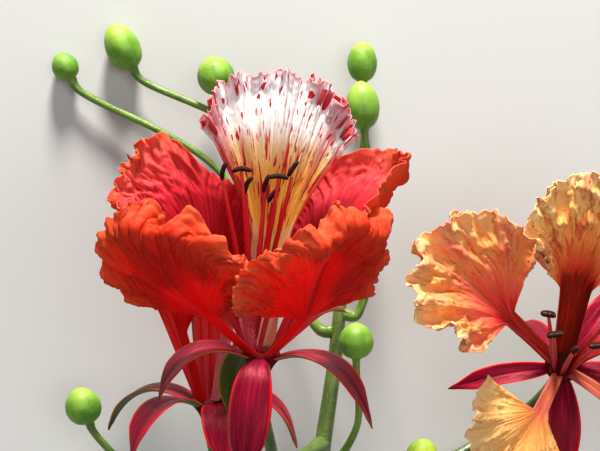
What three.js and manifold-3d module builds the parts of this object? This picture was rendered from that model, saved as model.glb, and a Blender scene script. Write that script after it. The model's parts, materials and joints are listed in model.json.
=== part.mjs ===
// A cut flowering spray: three open blooms and eight round buds on one forked green stem.
// Every part is set out as it grew, in millimetres: x to the right, y away from the viewer,
// z up, with the receptacle of the front bloom at the origin. The spray then lies down on its
// back, on +Z up, with the cut end of the stem towards -Y and the blooms' tips towards +Y.
import * as THREE from "three";
import Module from "manifold-3d";

const wasm = await Module();
wasm.setup();
const { Manifold, Mesh } = wasm;

const PETAL_THICKNESS = 0.9;
const SEPAL_THICKNESS = 0.9;
const GAP = 0.3; // clearance between neighbouring solids
// Radius and height of the receptacle from its foot to the flat top that the petals stand round.
const RECEPTACLE = [[1.9, -8], [2.6, -5.8], [4.2, -3.4], [5.2, -1.6], [5.4, 0]];
const STAMEN_RING = 2.6; // radius of the ring of filaments on the receptacle
const FILAMENT_RADII = [0.42, 0.62, 0.36];
const ANTHER_LENGTH = 4.2;
const ANTHER_RADIUS = 0.75;
const LAY_BACK = -90; // degrees about x, from standing to lying
const REST_TILT = [12.33, -6.81]; // degrees about x and y that bring the lowest three points level
const SEPAL_SEAT = [5.9, -1.3]; // radius and height of a sepal's foot
const SEPAL_DETAIL = [4, 7]; // facets across and along a sepal
const PEDICEL_RADII = [2, 1.7, 1.8];
const STALK_RADII = [1.3, 1, 1.1];
// Radius and height of a bud and an anther, as parts of their own radius and length.
const BUD = [[0.3, 0], [0.72, 0.12], [0.96, 0.32], [1, 0.52], [0.8, 0.76], [0.45, 0.92], [0, 1]];
const ANTHER = [[0, -0.5], [0.7, -0.42], [1, -0.15], [1, 0.15], [0.7, 0.42], [0, 0.5]];

// Cross-sections of an ordinary petal, in degrees of cup at the claw's base, the claw's end,
// the middle of the blade and the tip, beside the midrib and at the margin.
const CUPPED = [30, 30, 25, 10];
const FLARED = [30, 30, 10, -20];
const FLAT = [0, 0, 0, 0];
// An ordinary petal. fan is the blade's half angle and round the fall of its rim at the margin,
// left and right of the midrib. from and azimuth are where it is seated and where it heads, and
// seat is the radius and height of its foot. pleats are their number, depth and phase.
const PETAL = {
  claw: 18, blade: 34, fan: [60, 60], round: [0.5, 0.5], clawWidth: [1.7, 2.3],
  seat: [4.6, 0.7], fold: [CUPPED, CUPPED], margin: [FLARED, FLARED], pleats: [3, 1.2, 0],
  swerve: 0, twist: [0, 0, 0],
};

// rise is how steeply a petal or sepal climbs, in degrees, at its foot, at the claw's end or a
// third of the way, halfway out from there, and at its tip. detail is a petal's facets across
// its width, along its claw and along its blade.
const FRONT_BLOOM = {
  name: "front", at: [0, 0, 0], lean: [3.5, 0], detail: [12, 3, 7],
  petals: {
    right: {
      from: -58, azimuth: -68, claw: 13, blade: 37, fan: [88, 62], round: [0.66, 0.36],
      rise: [58, 57, 54, 48], fold: [[30, 30, 20, 10], [30, 25, 20, 10]],
      margin: [[30, 10, -10, -25], [30, 20, 0, -25]], pleats: [3, 1.2, 0.4],
      swerve: 2, twist: [0, -15, -18],
    },
    left: {
      from: -130, azimuth: -148, claw: 13, blade: 39, fan: [57, 78], round: [0.45, 0.7],
      rise: [46, 46, 49, 48], fold: [[10, 5, 0, 0], [20, 25, 20, 10]],
      margin: [[10, -10, -15, -20], [30, 25, 0, -30]], pleats: [3, 1.2, 1.4],
      twist: [0, 24, 28],
    },
    back_left: {
      from: 160, azimuth: 167, claw: 20, blade: 41, fan: [78, 66], round: [0.46, 0.46],
      clawWidth: [1.6, 2.2], rise: [64, 56, 49, 8], pleats: [3, 1.4, 2.4], twist: [0, 5, 8],
    },
    back_right: {
      from: 20, azimuth: 22, claw: 20, blade: 38, fan: [62, 62], clawWidth: [1.6, 2.2],
      rise: [66, 59, 53, 28], pleats: [3, 1.4, 3.4],
    },
    standard: {
      azimuth: 90, claw: 26, blade: 44, fan: [52, 52], round: [0.33, 0.33],
      clawWidth: [3.6, 5.0], rise: [78, 82, 88, 38], seat: [5, 0.7], fold: [FLAT, FLAT],
      margin: [[105, 105, 80, 40], [105, 105, 80, 40]], pleats: [4, 1, 0.2],
    },
  },
  sepals: [
    { azimuth: -99, length: 33, width: 11, rise: [-10, -60, -80, -88], cup: -25 },
    { azimuth: -24, length: 34, width: 10, rise: [28, -5, -50, -66] },
    { azimuth: 48, length: 31, width: 10, rise: [40, 30, 5, -30] },
    { azimuth: 122, length: 30, width: 10, rise: [0, -60, -85, -88] },
    { azimuth: 203, length: 29, width: 10, rise: [28, 5, -45, -80] },
  ],
  stamens: [
    { from: -216, tip: [-9.6, 1, 44], turn: 80 }, { from: -194, tip: [-6, -1, 45], turn: 5 },
    { from: -172, tip: [-4, 0.4, 39.2], turn: 70 }, { from: 36, tip: [1, 1.8, 39.5], turn: 60 },
    { from: 14, tip: [3.4, 0.5, 37.2], turn: 45 }, { from: -8, tip: [4.8, -1.5, 44.5], turn: 0 },
    { from: -30, tip: [8, 1, 45], turn: 60 }, { from: -150, tip: [-8, -4, 35], turn: 20 },
    { from: -128, tip: [-5, -6, 33], turn: 50 }, { from: -52, tip: [4.4, -5.4, 33], turn: 30 },
  ],
};

// The front bloom's pistil stands in the gap between its two front petals.
const PISTIL = {
  path: [[0, -1.2, GAP], [0, -1.4, 1.5], [-0.3, -4.2, 7], [-0.4, -6.6, 18], [-0.2, -7.4, 30]],
  radii: [0.9, 1.3, 0.6, 0.5],
};

const LEFT_BLOOM = {
  name: "left", at: [-15, 45, -27], lean: [-2, 4], detail: [8, 2, 6],
  petals: {
    front_right: { azimuth: -55, claw: 22, blade: 27, fan: [44, 44], rise: [70, 70, 68, 50] },
    front_left: { azimuth: -125, claw: 22, blade: 27, fan: [46, 46], rise: [68, 68, 66, 50] },
    back_left: { azimuth: 162, claw: 22, blade: 27, fan: [50, 50], rise: [68, 68, 64, 40] },
    back_right: { azimuth: 20, claw: 22, blade: 27, fan: [46, 46], rise: [70, 68, 60, 40] },
    standard: {
      azimuth: 90, claw: 22, blade: 30, fan: [45, 45], clawWidth: [3.4, 4.2], seat: [5, 0.7],
      rise: [78, 82, 84, 55], fold: [FLAT, FLAT], margin: [[105, 100, 80, 40], [105, 100, 80, 40]],
    },
  },
  sepals: [
    { azimuth: -140, length: 30, width: 10, rise: [35, 0, -50, -80] },
    { azimuth: 160, length: 32, width: 10, rise: [30, 5, -40, -70] },
    { azimuth: -10, length: 28, width: 10, rise: [50, 10, -40, -70] },
    { azimuth: -76, length: 20, width: 10, rise: [10, -40, -60, -70] },
    { azimuth: 74, length: 26, width: 10, rise: [30, 0, -40, -60] },
  ],
  stamens: [
    { from: -150, tip: [-3, -1, 36] }, { from: -100, tip: [0, -3, 35] },
    { from: -50, tip: [3, -1, 37] }, { from: 10, tip: [4, 1, 34] }, { from: 190, tip: [-4, 1, 34] },
  ],
};

const RIGHT_BLOOM = {
  name: "right", at: [81, 52, -20], lean: [0, -58], detail: [8, 2, 6],
  petals: {
    upper_left: { azimuth: 150, claw: 21, blade: 31, rise: [50, 42, 32, 10] },
    lower_left: { azimuth: -122, claw: 16, blade: 28, rise: [40, 15, -5, -30] },
    lower_right: { azimuth: -45, rise: [40, 15, 0, -30] },
    upper_right: { azimuth: 18, rise: [45, 30, 15, -10] },
    standard: {
      azimuth: 84, claw: 27, blade: 30, fan: [50, 50], clawWidth: [3.4, 4.2], seat: [5, 0.7],
      rise: [62, 58, 50, 10], fold: [FLAT, FLAT], margin: [[105, 95, 60, 20], [105, 95, 60, 20]],
    },
  },
  sepals: [
    { azimuth: 186, length: 26, width: 9, rise: [20, 0, -15, -30] },
    { azimuth: -90, length: 27, width: 9, rise: [10, 0, -15, -30] },
    { azimuth: -16, length: 27, width: 9, rise: [20, 0, -15, -30] },
    { azimuth: 52, length: 27, width: 9, rise: [20, 0, -15, -30] },
    { azimuth: 122, length: 27, width: 9, rise: [20, 0, -15, -30] },
  ],
  stamens: [
    { from: -150, tip: [-6, -2, 36] }, { from: -100, tip: [-1, -6, 35] },
    { from: -50, tip: [5, -5, 37] }, { from: 10, tip: [8, 2, 34] }, { from: 190, tip: [-7, 4, 34] },
  ],
};

// The main stem from its cut end to its tip, and where the stalks leave it (0 to 1 along it).
const STEM = {
  path: [[13, 54, -112], [13, 52, -82], [15, 52, -50], [19, 56, -20], [22, 63, 12]],
  radii: [3.3, 1.5],
};
// A bud hangs on a stalk that leaves the stem at leaves and turns at bend.
const BUDS = [
  { name: "high_left", at: [-39.7, 84, 62.2], radius: 4.8, length: 13.4, leaves: 0.9, bend: [-4, 76, 38] },
  { name: "far_left", at: [-55.5, 82, 57], radius: 3.7, length: 8, leaves: 0.8, bend: [-14, 75, 30] },
  { name: "top", at: [-13.8, 78, 55.2], radius: 5.2, length: 10.6, leaves: 0.985, bend: [8, 70, 34] },
  { name: "right_upper", at: [26.9, 88, 57.2], radius: 4.2, length: 11.2, leaves: 0.94, bend: [27, 78, 36] },
  { name: "right_lower", at: [26.6, 72, 48.1], radius: 4.7, length: 13.2, leaves: 0.84, bend: [31, 64, 22] },
  { name: "low_right", at: [24.6, 45, -11], radius: 4.8, length: 9.8, leaves: 0.52, bend: [25, 43, -34] },
  { name: "low_left", at: [-49.7, 50, -31], radius: 5, length: 10.4, leaves: 0.3, bend: [-24, 54, -62] },
  { name: "low_front", at: [40.7, 6, -29.6], radius: 4.1, length: 8.4, leaves: 0.36, bend: [34, 22, -56] },
];

const radians = (degrees) => (degrees * Math.PI) / 180;
const vec = (x, y, z) => new THREE.Vector3(x, y, z);
const clamp = (value) => Math.min(1, Math.max(0, value));
// Vector a turned by an angle towards b, which is square to it.
const blend = (a, b, angle) => a.clone().multiplyScalar(Math.cos(angle)).addScaledVector(b, Math.sin(angle));

// Value at x of the broken line through (xs, ys).
function lerpAt(x, xs, ys) {
  let k = 0;
  while (k < xs.length - 2 && x > xs[k + 1]) k += 1;
  const t = clamp((x - xs[k]) / (xs[k + 1] - xs[k]));
  return ys[k] + (ys[k + 1] - ys[k]) * t;
}

// A curved centre line that starts at its seat on the receptacle and rises by the angles of
// rise at the given stations. Returns point, side vector and inner normal at a length.
function midrib(spec, length, stations) {
  const steps = 96;
  const heading = radians(spec.azimuth);
  const out = vec(Math.cos(heading), Math.sin(heading), 0);
  const across = vec(-Math.sin(heading), Math.cos(heading), 0);
  const seatAt = radians(spec.from ?? spec.azimuth);
  const frameAt = (s) => {
    const elevation = radians(lerpAt(s, stations, spec.rise));
    const swing = radians(spec.swerve ?? 0) * clamp((s - 0.2 * stations[1]) / length);
    const turn = radians(lerpAt(s, [0, stations[1], length], spec.twist ?? [0, 0, 0]));
    const ahead = out.clone().multiplyScalar(Math.cos(elevation));
    ahead.z += Math.sin(elevation);
    const along = blend(ahead, across, swing);
    const flat = blend(across, ahead, -swing);
    const inner = along.clone().cross(flat);
    return { along, side: blend(flat, inner, turn), inner: blend(inner, flat, -turn) };
  };
  const [radius, height] = spec.seat;
  const points = [vec(radius * Math.cos(seatAt), radius * Math.sin(seatAt), height)];
  for (let k = 0; k < steps; k += 1) {
    const { along } = frameAt(((k + 0.5) * length) / steps);
    points.push(points[k].clone().addScaledVector(along, length / steps));
  }
  return (s) => {
    const place = clamp(s / length) * steps;
    const k = Math.min(steps - 1, Math.floor(place));
    const point = points[k].clone().lerp(points[k + 1], place - k);
    return { ...frameAt(clamp(s / length) * length), point };
  };
}

// A point at a distance x from the midrib, on a cross-section whose angle goes from fold at
// the midrib to bend at this point, with the arc's length kept.
function bentAcross(rib, x, fold, bend, lift) {
  const turn = Math.abs(bend - fold) < 1e-4 ? 1e-4 : bend - fold;
  const reach = (Math.abs(x) * (Math.sin(fold + turn) - Math.sin(fold))) / turn;
  const rise = (Math.abs(x) * (Math.cos(fold) - Math.cos(fold + turn))) / turn;
  const sign = Math.sign(x);
  return rib.point.clone()
    .addScaledVector(rib.side, sign * (reach - lift * Math.sin(bend)))
    .addScaledVector(rib.inner, rise + lift * Math.cos(bend));
}

// Rows of points of a petal: a narrow claw, then a fan-shaped blade with pleats that deepen
// towards its rim. v runs from -1 to 1 across, rho from 0 to 1 out along the blade.
function petalRows(spec, [across, clawRows, bladeRows]) {
  const { claw, blade } = spec;
  const length = claw + blade;
  const stations = [0, claw, claw + blade / 2, length];
  const rib = midrib(spec, length, stations);
  const rows = [];
  for (let i = 0; i <= clawRows + bladeRows; i += 1) {
    const up = clamp(i / clawRows);
    const rho = clamp((i - clawRows) / bladeRows);
    const row = [];
    for (let j = 0; j <= across; j += 1) {
      const v = (2 * j) / across - 1;
      const half = v < 0 ? 0 : 1;
      const angle = v * radians(spec.fan[half]);
      const radius = blade * (1 - spec.round[half] * (1 - Math.cos((Math.PI / 2) * Math.abs(v))));
      const strip = v * (spec.clawWidth[0] + (spec.clawWidth[1] - spec.clawWidth[0]) * up);
      const x = strip + (radius * Math.sin(angle) - strip) * rho ** 1.25;
      const y = Math.max(0, up * claw + radius * Math.cos(angle) * rho);
      const fold = radians(lerpAt(y, stations, spec.fold[half]));
      const rim = radians(lerpAt(y, stations, spec.margin[half]));
      const [count, depth, phase] = spec.pleats;
      const pleat = Math.PI * count * v;
      const wave = Math.sin(pleat + phase) + 0.45 * Math.sin(1.7 * pleat + 2.3 * phase);
      const bend = fold + (rim - fold) * Math.abs(v);
      row.push(bentAcross(rib(y), x === 0 ? 1e-9 : x, fold, bend, depth * rho ** 1.6 * wave));
    }
    rows.push(row);
  }
  return rows;
}

// Rows of points of a sepal: a pointed strap, widest at its middle, cupped across.
function sepalRows(spec, across, along) {
  const rib = midrib(spec, spec.length, [0, 0.3, 0.65, 1].map((part) => part * spec.length));
  const cup = radians(spec.cup ?? 20);
  const rows = [];
  for (let i = 0; i <= along; i += 1) {
    const u = i / along;
    const belly = 0.5 + 0.5 * Math.sin(Math.PI * Math.min(1, u / 0.9)) ** 0.9;
    const half = (spec.width / 2) * Math.max(0.04, belly * clamp((1 - u) / 0.28) ** 0.6);
    const row = [];
    for (let j = 0; j <= across; j += 1) {
      const v = (2 * j) / across - 1;
      row.push(bentAcross(rib(u * spec.length), v === 0 ? 1e-9 : v * half, 0, cup * Math.abs(v), 0));
    }
    rows.push(row);
  }
  return rows;
}

// A closed body from vertices and triangles, facing out.
function body(points, triangles) {
  const build = (list) => Manifold.ofMesh(new Mesh({
    numProp: 3,
    vertProperties: new Float32Array(points.flatMap((p) => [p.x, p.y, p.z])),
    triVerts: new Uint32Array(list.flat()),
  }));
  let volume = 0;
  for (const [a, b, c] of triangles) {
    volume += points[a].dot(points[b].clone().cross(points[c]));
  }
  return build(volume > 0 ? triangles : triangles.map(([a, b, c]) => [a, c, b]));
}

// A leaf-like solid on rows of points: full thickness inside, a thin edge all round the free
// rim, and a flat end at the first row.
function blade(rows, thickness) {
  const last = rows.length - 1;
  const width = rows[0].length - 1;
  const points = [];
  const index = { upper: [], lower: [] };
  rows.forEach((row, i) => {
    index.upper.push([]);
    index.lower.push([]);
    row.forEach((point, j) => {
      const along = rows[Math.min(last, i + 1)][j].clone().sub(rows[Math.max(0, i - 1)][j]);
      const across = row[Math.min(width, j + 1)].clone().sub(row[Math.max(0, j - 1)]);
      const normal = along.cross(across).normalize().multiplyScalar(thickness / 2);
      const rim = j === 0 || j === width || i === last;
      index.upper[i].push(points.length);
      points.push(rim ? point.clone() : point.clone().add(normal));
      index.lower[i].push(rim ? points.length - 1 : points.length);
      if (!rim) points.push(point.clone().sub(normal));
    });
  });
  const triangles = [];
  const face = (a, b, c) => {
    if (a !== b && b !== c && a !== c) triangles.push([a, b, c]);
  };
  const { upper, lower } = index;
  for (let i = 0; i < last; i += 1) {
    for (let j = 0; j < width; j += 1) {
      const even = (i + j) % 2 === 0;
      for (const [side, flip] of [[upper, false], [lower, true]]) {
        const [a, b, c, d] = [side[i][j], side[i + 1][j], side[i + 1][j + 1], side[i][j + 1]];
        const halves = even ? [[a, b, c], [a, c, d]] : [[a, b, d], [b, c, d]];
        for (const [p, q, r] of halves) face(p, flip ? r : q, flip ? q : r);
      }
    }
  }
  for (let j = 0; j < width; j += 1) {
    face(upper[0][j], upper[0][j + 1], lower[0][j + 1]);
    face(upper[0][j], lower[0][j + 1], lower[0][j]);
  }
  return body(points, triangles);
}

// A round bar along a smooth curve, with flat ends; radii are spread evenly along it.
function bar(path, radii, sides = 8, segments = 8) {
  const curve = new THREE.CatmullRomCurve3(path, false, "centripetal");
  const points = [];
  const triangles = [];
  let normal = null;
  for (let i = 0; i <= segments; i += 1) {
    const t = i / segments;
    const centre = curve.getPointAt(t);
    const ahead = curve.getTangentAt(t);
    if (normal === null) normal = Math.abs(ahead.x) < 0.8 ? vec(1, 0, 0) : vec(0, 1, 0);
    normal = normal.clone().addScaledVector(ahead, -normal.dot(ahead)).normalize();
    const other = ahead.clone().cross(normal);
    const radius = lerpAt(t, radii.map((_, k) => k / (radii.length - 1)), radii);
    for (let k = 0; k < sides; k += 1) {
      const angle = (2 * Math.PI * k) / sides;
      points.push(centre.clone()
        .addScaledVector(normal, radius * Math.cos(angle))
        .addScaledVector(other, radius * Math.sin(angle)));
    }
  }
  for (let k = 0; k < sides; k += 1) {
    const next = (k + 1) % sides;
    for (let i = 0; i < segments; i += 1) {
      const [a, b] = [i * sides + k, i * sides + next];
      triangles.push([a, b, b + sides], [a, b + sides, a + sides]);
    }
  }
  const end = segments * sides;
  for (let k = 1; k < sides - 1; k += 1) {
    triangles.push([0, k + 1, k], [end, end + k, end + k + 1]);
  }
  return body(points, triangles);
}

// A solid of revolution about the line from base along axis, through [radius, height] pairs
// that start and end on the line or close flat.
function turned(profile, base, axis, sides = 12) {
  const up = axis.clone().normalize();
  const first = (Math.abs(up.x) < 0.8 ? vec(1, 0, 0) : vec(0, 1, 0));
  first.addScaledVector(up, -first.dot(up)).normalize();
  const second = up.clone().cross(first);
  const points = [];
  const rings = profile.map(([radius, height]) => {
    const ring = [];
    for (let k = 0; k < (radius > 0 ? sides : 1); k += 1) {
      const angle = (2 * Math.PI * k) / sides;
      ring.push(points.length);
      points.push(base.clone().addScaledVector(up, height)
        .addScaledVector(first, radius * Math.cos(angle))
        .addScaledVector(second, radius * Math.sin(angle)));
    }
    return ring;
  });
  const triangles = [];
  for (let i = 0; i < rings.length - 1; i += 1) {
    const [low, high] = [rings[i], rings[i + 1]];
    for (let k = 0; k < sides; k += 1) {
      const [a, b] = [low[k % low.length], low[(k + 1) % low.length]];
      const [c, d] = [high[k % high.length], high[(k + 1) % high.length]];
      if (a !== b) triangles.push([a, b, d]);
      if (c !== d) triangles.push([a, d, c]);
    }
  }
  const close = (ring, reverse) => {
    for (let k = 1; k < ring.length - 1; k += 1) {
      triangles.push(reverse ? [ring[0], ring[k + 1], ring[k]] : [ring[0], ring[k], ring[k + 1]]);
    }
  };
  close(rings[0], true);
  close(rings[rings.length - 1], false);
  return body(points, triangles);
}

// Standing position of a bloom: leaned to the right and to the back, then moved to its place.
function bloomMatrix({ at, lean }) {
  return new THREE.Matrix4().makeTranslation(...at)
    .multiply(new THREE.Matrix4().makeRotationY(radians(lean[0])))
    .multiply(new THREE.Matrix4().makeRotationX(radians(-lean[1])));
}

// Centre line of a stamen: out of the ring on the receptacle, then curving to its tip.
function stamenPath({ from, tip }) {
  const [x, y] = [Math.cos(radians(from)), Math.sin(radians(from))];
  const base = vec(STAMEN_RING * x, STAMEN_RING * y, -0.5);
  const end = vec(...tip);
  const middle = base.clone().multiplyScalar(0.62).addScaledVector(end, 0.38);
  middle.z = 0.42 * end.z;
  return [base, middle, end];
}

// Every solid of the spray as it grew, with its name and the finish that it takes.
const solids = [];
const add = (name, solid, slot, matrix = new THREE.Matrix4()) => {
  solids.push({ name, slot, solid: solid.transform(matrix.elements) });
};

function addBloom(bloom, slots) {
  const place = bloomMatrix(bloom);
  const { name } = bloom;
  for (const [key, shape] of Object.entries(bloom.petals)) {
    const spec = { ...PETAL, ...shape };
    const slot = key === "standard" ? slots.standard : slots.petal;
    add(`${name}_petal_${key}`, blade(petalRows(spec, bloom.detail), PETAL_THICKNESS), slot, place);
  }
  bloom.sepals.forEach((shape, k) => {
    const spec = { seat: SEPAL_SEAT, ...shape };
    add(`${name}_sepal_${k + 1}`, blade(sepalRows(spec, ...SEPAL_DETAIL), SEPAL_THICKNESS), "sepal", place);
  });
  const parts = [turned(RECEPTACLE, vec(0, 0, 0), vec(0, 0, 1), 14)];
  for (const stamen of bloom.stamens) parts.push(bar(stamenPath(stamen), FILAMENT_RADII, 6, 6));
  add(`${name}_centre`, Manifold.union(parts), "filament", place);
  bloom.stamens.forEach((stamen, k) => {
    if (stamen.turn === undefined) return;
    const tip = vec(...stamen.tip);
    const tilt = radians(stamen.turn);
    const axis = vec(Math.cos(tilt), 0, Math.sin(tilt));
    const centre = tip.clone();
    centre.z += GAP + ANTHER_RADIUS * Math.cos(tilt) + (ANTHER_LENGTH / 2) * Math.sin(tilt);
    const profile = ANTHER.map(([r, h]) => [r * ANTHER_RADIUS, h * ANTHER_LENGTH]);
    add(`${name}_anther_${k + 1}`, turned(profile, centre, axis, 7), "anther", place);
  });
}

addBloom(FRONT_BLOOM, { petal: "petal_red", standard: "petal_white" });
addBloom(LEFT_BLOOM, { petal: "petal_red", standard: "petal_red" });
addBloom(RIGHT_BLOOM, { petal: "petal_orange", standard: "petal_orange" });
const pistil = bar(PISTIL.path.map((p) => vec(...p)), PISTIL.radii, 6, 8);
add("front_pistil", pistil, "filament", bloomMatrix(FRONT_BLOOM));

// The stem is one tapering bar. Each pedicel and each bud's stalk is a limb of its own that
// leaves the stem square to it, a gap clear of its side, and bends up to its bloom or bud.
const spinePoints = STEM.path.map((p) => vec(...p));
const spine = new THREE.CatmullRomCurve3(spinePoints, false, "centripetal");
add("stem", bar(spinePoints, STEM.radii, 12, 12), "stem");

function limbPath(leaves, bends, end) {
  const from = spine.getPointAt(leaves);
  const ahead = spine.getTangentAt(leaves);
  const away = bends[0].clone().sub(from);
  away.addScaledVector(ahead, -away.dot(ahead)).normalize();
  const side = STEM.radii[0] + (STEM.radii[1] - STEM.radii[0]) * leaves + GAP;
  const start = [0, 2.5].map((step) => from.clone().addScaledVector(away, side + step));
  return [...start, ...bends, ...end];
}

// Where each bloom's pedicel leaves the stem, and its bends.
const PEDICELS = [
  { bloom: FRONT_BLOOM, leaves: 0.55, bends: [[4, 24, -40], [2, 5, -27]] },
  { bloom: LEFT_BLOOM, leaves: 0.5, bends: [[-10, 46, -50]] },
  { bloom: RIGHT_BLOOM, leaves: 0.42, bends: [[46, 68, -56], [74, 77, -41]] },
];
for (const { bloom, leaves, bends } of PEDICELS) {
  const foot = RECEPTACLE[0][1] - GAP;
  const end = [foot - 2.7, foot].map((z) => vec(0, 0, z).applyMatrix4(bloomMatrix(bloom)));
  const path = limbPath(leaves, bends.map((p) => vec(...p)), end);
  add(`${bloom.name}_pedicel`, bar(path, PEDICEL_RADII, 8, 10), "stem");
}
for (const { name, at, radius, length, leaves, bend } of BUDS) {
  const axis = vec(...at).sub(vec(...bend)).normalize().add(vec(0, 0, 1)).normalize();
  const base = vec(...at).addScaledVector(axis, -length / 2);
  const neck = [-3, 1].map((height) => base.clone().addScaledVector(axis, height));
  const stalk = bar(limbPath(leaves, [vec(...bend)], neck), STALK_RADII, 7, 9);
  const profile = BUD.map(([r, h]) => [r * radius, h * length]);
  add(`bud_${name}`, Manifold.union([turned(profile, base, axis, 10), stalk]), "bud");
}

// Colour and roughness of each material; none is a metal.
const FINISHES = {
  petal_red: [0xc9200f, 0.5], petal_white: [0xf3e3cf, 0.55], petal_orange: [0xf08a3a, 0.5],
  sepal: [0x7e1530, 0.4], filament: [0xb3121f, 0.45], anther: [0x3a1410, 0.7],
  stem: [0x5f7a26, 0.5], bud: [0x6fa82e, 0.4],
};

const lay = new THREE.Matrix4().makeRotationY(radians(REST_TILT[1]))
  .multiply(new THREE.Matrix4().makeRotationX(radians(LAY_BACK + REST_TILT[0])));
const group = new THREE.Group();
const box = new THREE.Box3();
for (const { name, slot, solid } of solids) {
  const mesh = solid.transform(lay.elements).getMesh();
  const geometry = new THREE.BufferGeometry();
  geometry.setAttribute("position", new THREE.BufferAttribute(new Float32Array(mesh.vertProperties), 3));
  geometry.setIndex(new THREE.BufferAttribute(new Uint32Array(mesh.triVerts), 1));
  geometry.computeVertexNormals();
  geometry.computeBoundingBox();
  box.union(geometry.boundingBox);
  const [color, roughness] = FINISHES[slot];
  const material = new THREE.MeshStandardMaterial({ color, roughness, metalness: 0 });
  const part = new THREE.Mesh(geometry, material);
  part.name = name;
  group.add(part);
}
// The frame's origin is under the middle of the box, on the floor.
const middle = box.getCenter(vec(0, 0, 0));
for (const part of group.children) {
  part.geometry.translate(-middle.x, -middle.y, -box.min.z);
}

export default group;
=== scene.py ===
"""A cut flowering spray of a flame tree, lying on its back on a pale floor and seen from above.

Every shape is worked out as it grew, in millimetres: x to the right, y away from the viewer, z up,
with the front bloom's receptacle at the origin. It is then laid down on its back, in metres.
"""
import json

import bpy
import numpy as np
from mathutils import Matrix


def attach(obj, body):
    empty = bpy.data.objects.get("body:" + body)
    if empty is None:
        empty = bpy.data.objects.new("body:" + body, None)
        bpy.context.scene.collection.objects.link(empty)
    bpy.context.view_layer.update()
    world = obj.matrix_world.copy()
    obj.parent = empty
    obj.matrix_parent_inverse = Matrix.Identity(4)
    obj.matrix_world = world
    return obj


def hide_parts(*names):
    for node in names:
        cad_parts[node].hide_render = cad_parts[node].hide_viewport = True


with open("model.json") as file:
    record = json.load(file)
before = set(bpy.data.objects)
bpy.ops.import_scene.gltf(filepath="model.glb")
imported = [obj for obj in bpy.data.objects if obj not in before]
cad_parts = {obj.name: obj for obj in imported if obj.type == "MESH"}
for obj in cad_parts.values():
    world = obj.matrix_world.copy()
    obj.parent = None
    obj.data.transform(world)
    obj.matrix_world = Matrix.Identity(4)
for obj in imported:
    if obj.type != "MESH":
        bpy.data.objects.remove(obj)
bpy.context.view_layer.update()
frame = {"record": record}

# How the spray lies: turned on to its back, then tipped until its three lowest points are level.
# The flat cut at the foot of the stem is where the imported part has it.
LAY_BACK = -90.0
REST_TILT = (12.33, -6.81)
STEM_PATH = np.array([[13, 54, -112], [13, 52, -82], [15, 52, -50], [19, 56, -20], [22, 63, 12]], float)


def turn_about(axis, degrees):
    """Rotation matrix about one of the axes 0, 1 or 2: cosines in the other two, sines across them."""
    angle = np.radians(degrees)
    one, two = (axis + 1) % 3, (axis + 2) % 3
    matrix = np.eye(3)
    matrix[one, one] = matrix[two, two] = np.cos(angle)
    matrix[two, one] = np.sin(angle)
    matrix[one, two] = -np.sin(angle)
    return matrix


lay = turn_about(1, REST_TILT[1]) @ turn_about(0, LAY_BACK + REST_TILT[0])
cut_end = np.array(frame["record"]["mounts"][0]["pos_m"])
home = cut_end - lay @ STEM_PATH[0] * 0.001


def lie(points):
    """Points of the standing spray in millimetres, turned by lay and moved to home, in metres."""
    return np.asarray(points) @ lay.T * 0.001 + home


# The camera stands 14 degrees above the front bloom as it grew, which is straight over the spray
# as it lies. Its lens covers the 150 millimetres that the photograph shows from side to side.
CAMERA_RISE = 14.0
CAMERA_DISTANCE = 620.0
CAMERA_LENS = 148.8
AIM = (9.5, 7.52, 30.18)

rise = np.radians(CAMERA_RISE)
back = np.array([0.0, -np.cos(rise), np.sin(rise)])
up = np.array([0.0, np.sin(rise), np.cos(rise)])
placing = np.eye(4)
placing[:3, 0] = lay @ np.array([1.0, 0.0, 0.0])
placing[:3, 1] = lay @ up
placing[:3, 2] = lay @ back
placing[:3, 3] = lie(np.array(AIM) + CAMERA_DISTANCE * back)
camera_data = bpy.data.cameras.new("camera")
camera_data.lens = CAMERA_LENS
camera_data.sensor_width = 36.0
camera_data.clip_start = 0.02
camera = bpy.data.objects.new("camera", camera_data)
camera.matrix_world = Matrix(placing.tolist())
bpy.context.scene.collection.objects.link(camera)
bpy.context.scene.camera = camera
bpy.context.scene.view_settings.view_transform = "Standard"


# The floor is a plain pale board, and the light is a studio's: a large soft lamp beyond the
# blooms' tips, one beside the camera, and a pale room. As each finish below, the board's is a
# small network of shader nodes.
FLOOR_SIZE = 3.0
PALE = (0.56, 0.565, 0.55)
DULL = (0.54, 0.545, 0.53)


def node(tree, kind, inputs=None, **settings):
    """A shader node with its settings, and its inputs by name or by number.

    An input is linked where its value is a socket, and set to the value where it is not. A colour
    is given by its red, green and blue.
    """
    made = tree.nodes.new("ShaderNode" + kind)
    for key, value in settings.items():
        setattr(made, key, value)
    for key, value in (inputs or {}).items():
        socket = made.inputs[key]
        if isinstance(value, bpy.types.NodeSocket):
            tree.links.new(value, socket)
        else:
            socket.default_value = (*value, 1.0) if socket.type == "RGBA" else value
    return made


def new_finish(name):
    """An empty material and its node tree."""
    material = bpy.data.materials.new(name)
    material.use_nodes = True
    material.node_tree.nodes.clear()
    return material, material.node_tree


def blend(tree, share, one, two):
    """The colour one, mixed by share with the colour two."""
    return node(tree, "Mix", {0: share, 6: one, 7: two}, data_type="RGBA").outputs[2]


def shade(tree, value, low, high, to_low=0.0, to_high=1.0):
    """value read on a smooth step that goes from to_low at low to to_high at high."""
    ranged = node(tree, "MapRange", {0: value, 1: low, 2: high, 3: to_low, 4: to_high})
    ranged.interpolation_type = "SMOOTHSTEP"
    return ranged.outputs[0]


def noise(tree, place, scale, detail=2.0, roughness=0.5, stretch=None):
    """Noise between 0 and 1, read at place, which stretch scales first where it is given."""
    if stretch:
        place = node(tree, "Mapping", {"Vector": place, "Scale": stretch}).outputs[0]
    settings = {"Vector": place, "Scale": scale, "Detail": detail, "Roughness": roughness}
    return node(tree, "TexNoise", settings).outputs[0]


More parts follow.
